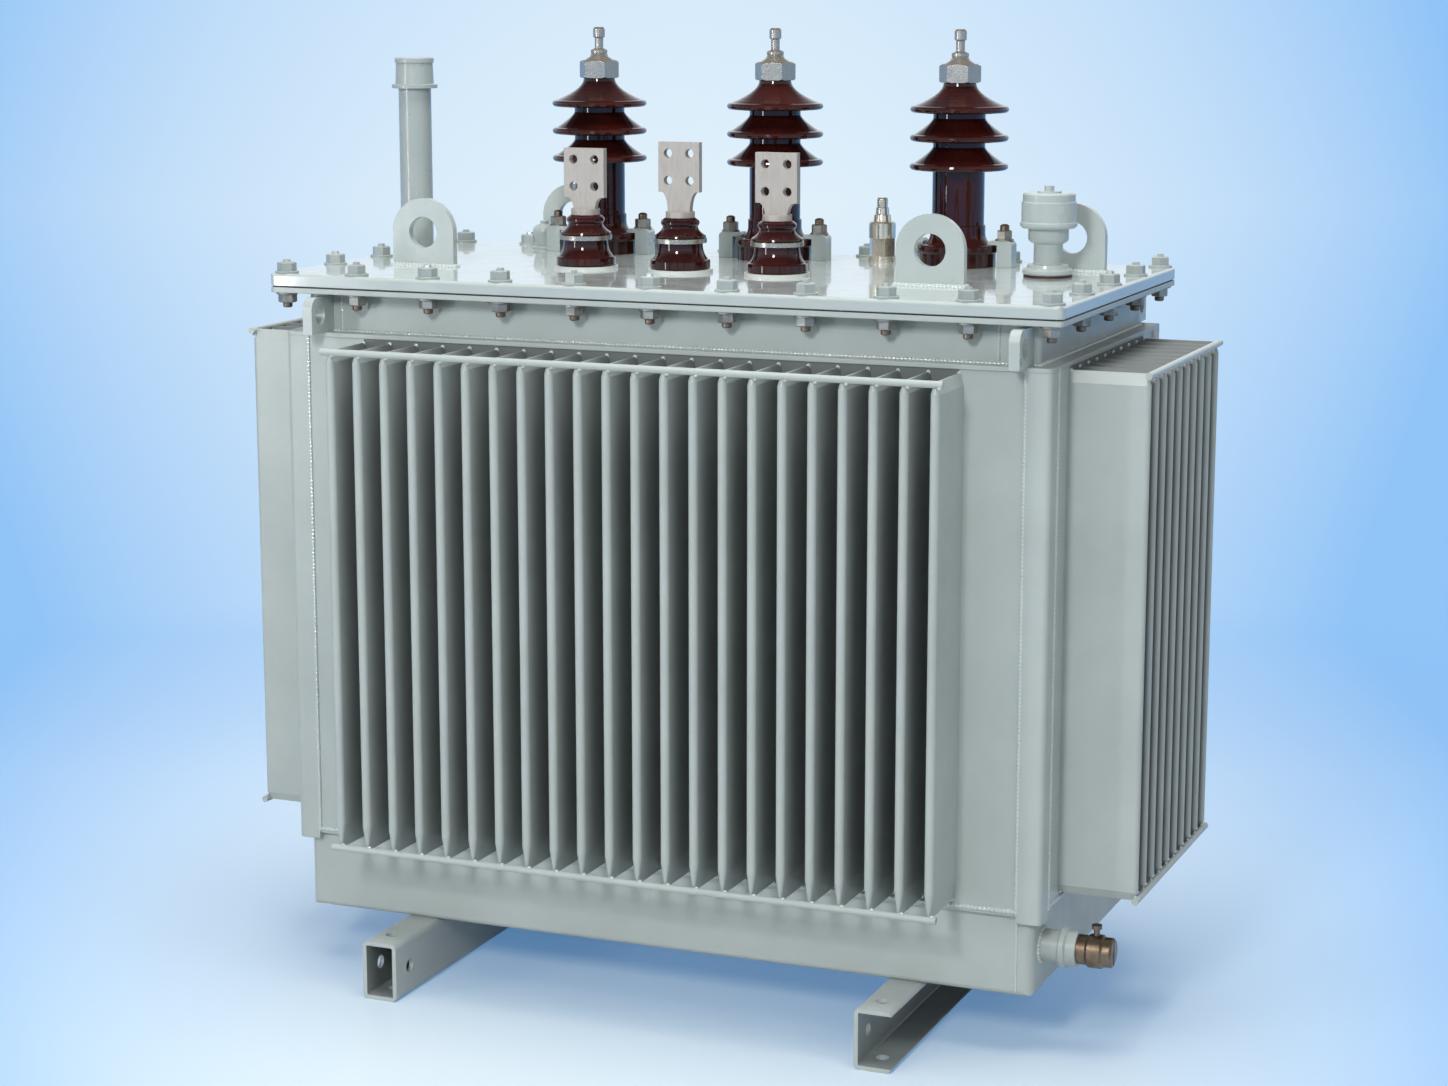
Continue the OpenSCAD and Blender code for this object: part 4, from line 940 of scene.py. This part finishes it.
    @staticmethod
    def sky(scene, s, tones):
        """Even light from all round; seen are the backdrop, pale walls over it and, in gloss, a dim ceiling."""
        world = scene.world or bpy.data.worlds.new("studio_world")
        scene.world = world
        world.use_nodes = True
        tree = world.node_tree
        tree.nodes.clear()
        out = add_node(tree, "ShaderNodeOutputWorld", 600)
        glow = add_node(tree, "ShaderNodeBackground", 400)
        _, axes = turned_axes(tree, "Generated", s.azimuth)
        ahead = sums(tree, axes["Y"], 0.05, "MAXIMUM", x=-900, y=-100)
        height = s.target[2] + s.distance * math.sin(s.elevation)
        # The backdrop seen here carries the same painted pool of light.
        tinted = add_node(tree, "ShaderNodeGroup", -400, 0, node_tree=tones)
        feed(tree, tinted, "Across", sums(tree, axes["X"], ahead, "DIVIDE", x=-700, y=0))
        slope = sums(tree, axes["Z"], ahead, "DIVIDE", x=-700, y=-200)
        feed(tree, tinted, "Near", sums(tree, slope, -BAND_REACH / height, "MULTIPLY", x=-550, y=-200))
        walls = remap(tree, axes["Z"], 0.0, 0.15, x=-550, y=-400)
        room = mix(tree, walls, tinted.outputs["Colour"], (0.84, 0.9, 0.95, 1), x=-100, y=-100)
        seen, glossy = seen_rays(tree, -400, 300)
        ceiling = sums(tree, glossy, remap(tree, axes["Z"], 0.22, 0.6, x=-550, y=-600), "MULTIPLY", x=-150, y=-400)
        room = mix(tree, ceiling, room, (0.12, 0.13, 0.15, 1), x=50, y=-200)
        feed(tree, glow, "Color", mix(tree, seen, (s.ambient, s.ambient, s.ambient * 1.02, 1), room, x=200, y=100))
        glow.inputs["Strength"].default_value = 1.0
        tree.links.new(glow.outputs[0], out.inputs["Surface"])


class TRANSFORMER_PT_sidebar(bpy.types.Panel):
    """Lists the steps and their sizes"""
    bl_idname = "TRANSFORMER_PT_sidebar"
    bl_label = "Distribution transformer"
    bl_space_type = "VIEW_3D"
    bl_region_type = "UI"
    bl_category = "Transformer"

    def draw(self, context):
        for operator in OPERATORS:
            self.layout.operator(operator.bl_idname)
        for key, group in GROUPS.items():
            box = self.layout.box()
            box.label(text=group.__doc__)
            for prop in group.__annotations__:
                box.prop(getattr(context.scene, key), prop)


GROUPS = {
    "transformer_finish": TransformerFinish,
    "transformer_fasteners": TransformerFasteners,
    "transformer_welds": TransformerWelds,
    "transformer_stage": TransformerStage,
}
OPERATORS = (
    TRANSFORMER_OT_finishes,
    TRANSFORMER_OT_cover_bolts,
    TRANSFORMER_OT_clamp_nuts,
    TRANSFORMER_OT_tank_welds,
    TRANSFORMER_OT_fin_welds,
    TRANSFORMER_OT_fitting_welds,
    TRANSFORMER_OT_stage,
)
CLASSES = (*GROUPS.values(), *OPERATORS, TRANSFORMER_PT_sidebar)


def register():
    for cls in CLASSES:
        bpy.utils.register_class(cls)
    for key, group in GROUPS.items():
        setattr(bpy.types.Scene, key, PointerProperty(type=group))


def unregister():
    for key in GROUPS:
        delattr(bpy.types.Scene, key)
    for cls in reversed(CLASSES):
        bpy.utils.unregister_class(cls)


def main():
    register()
    clear_selection()
    bpy.ops.transformer.finishes()
    bpy.ops.transformer.cover_bolts()
    bpy.ops.transformer.clamp_nuts()
    bpy.ops.transformer.tank_welds()
    bpy.ops.transformer.fin_welds()
    bpy.ops.transformer.fitting_welds()
    bpy.ops.transformer.stage()


if __name__ == "__main__":
    main()
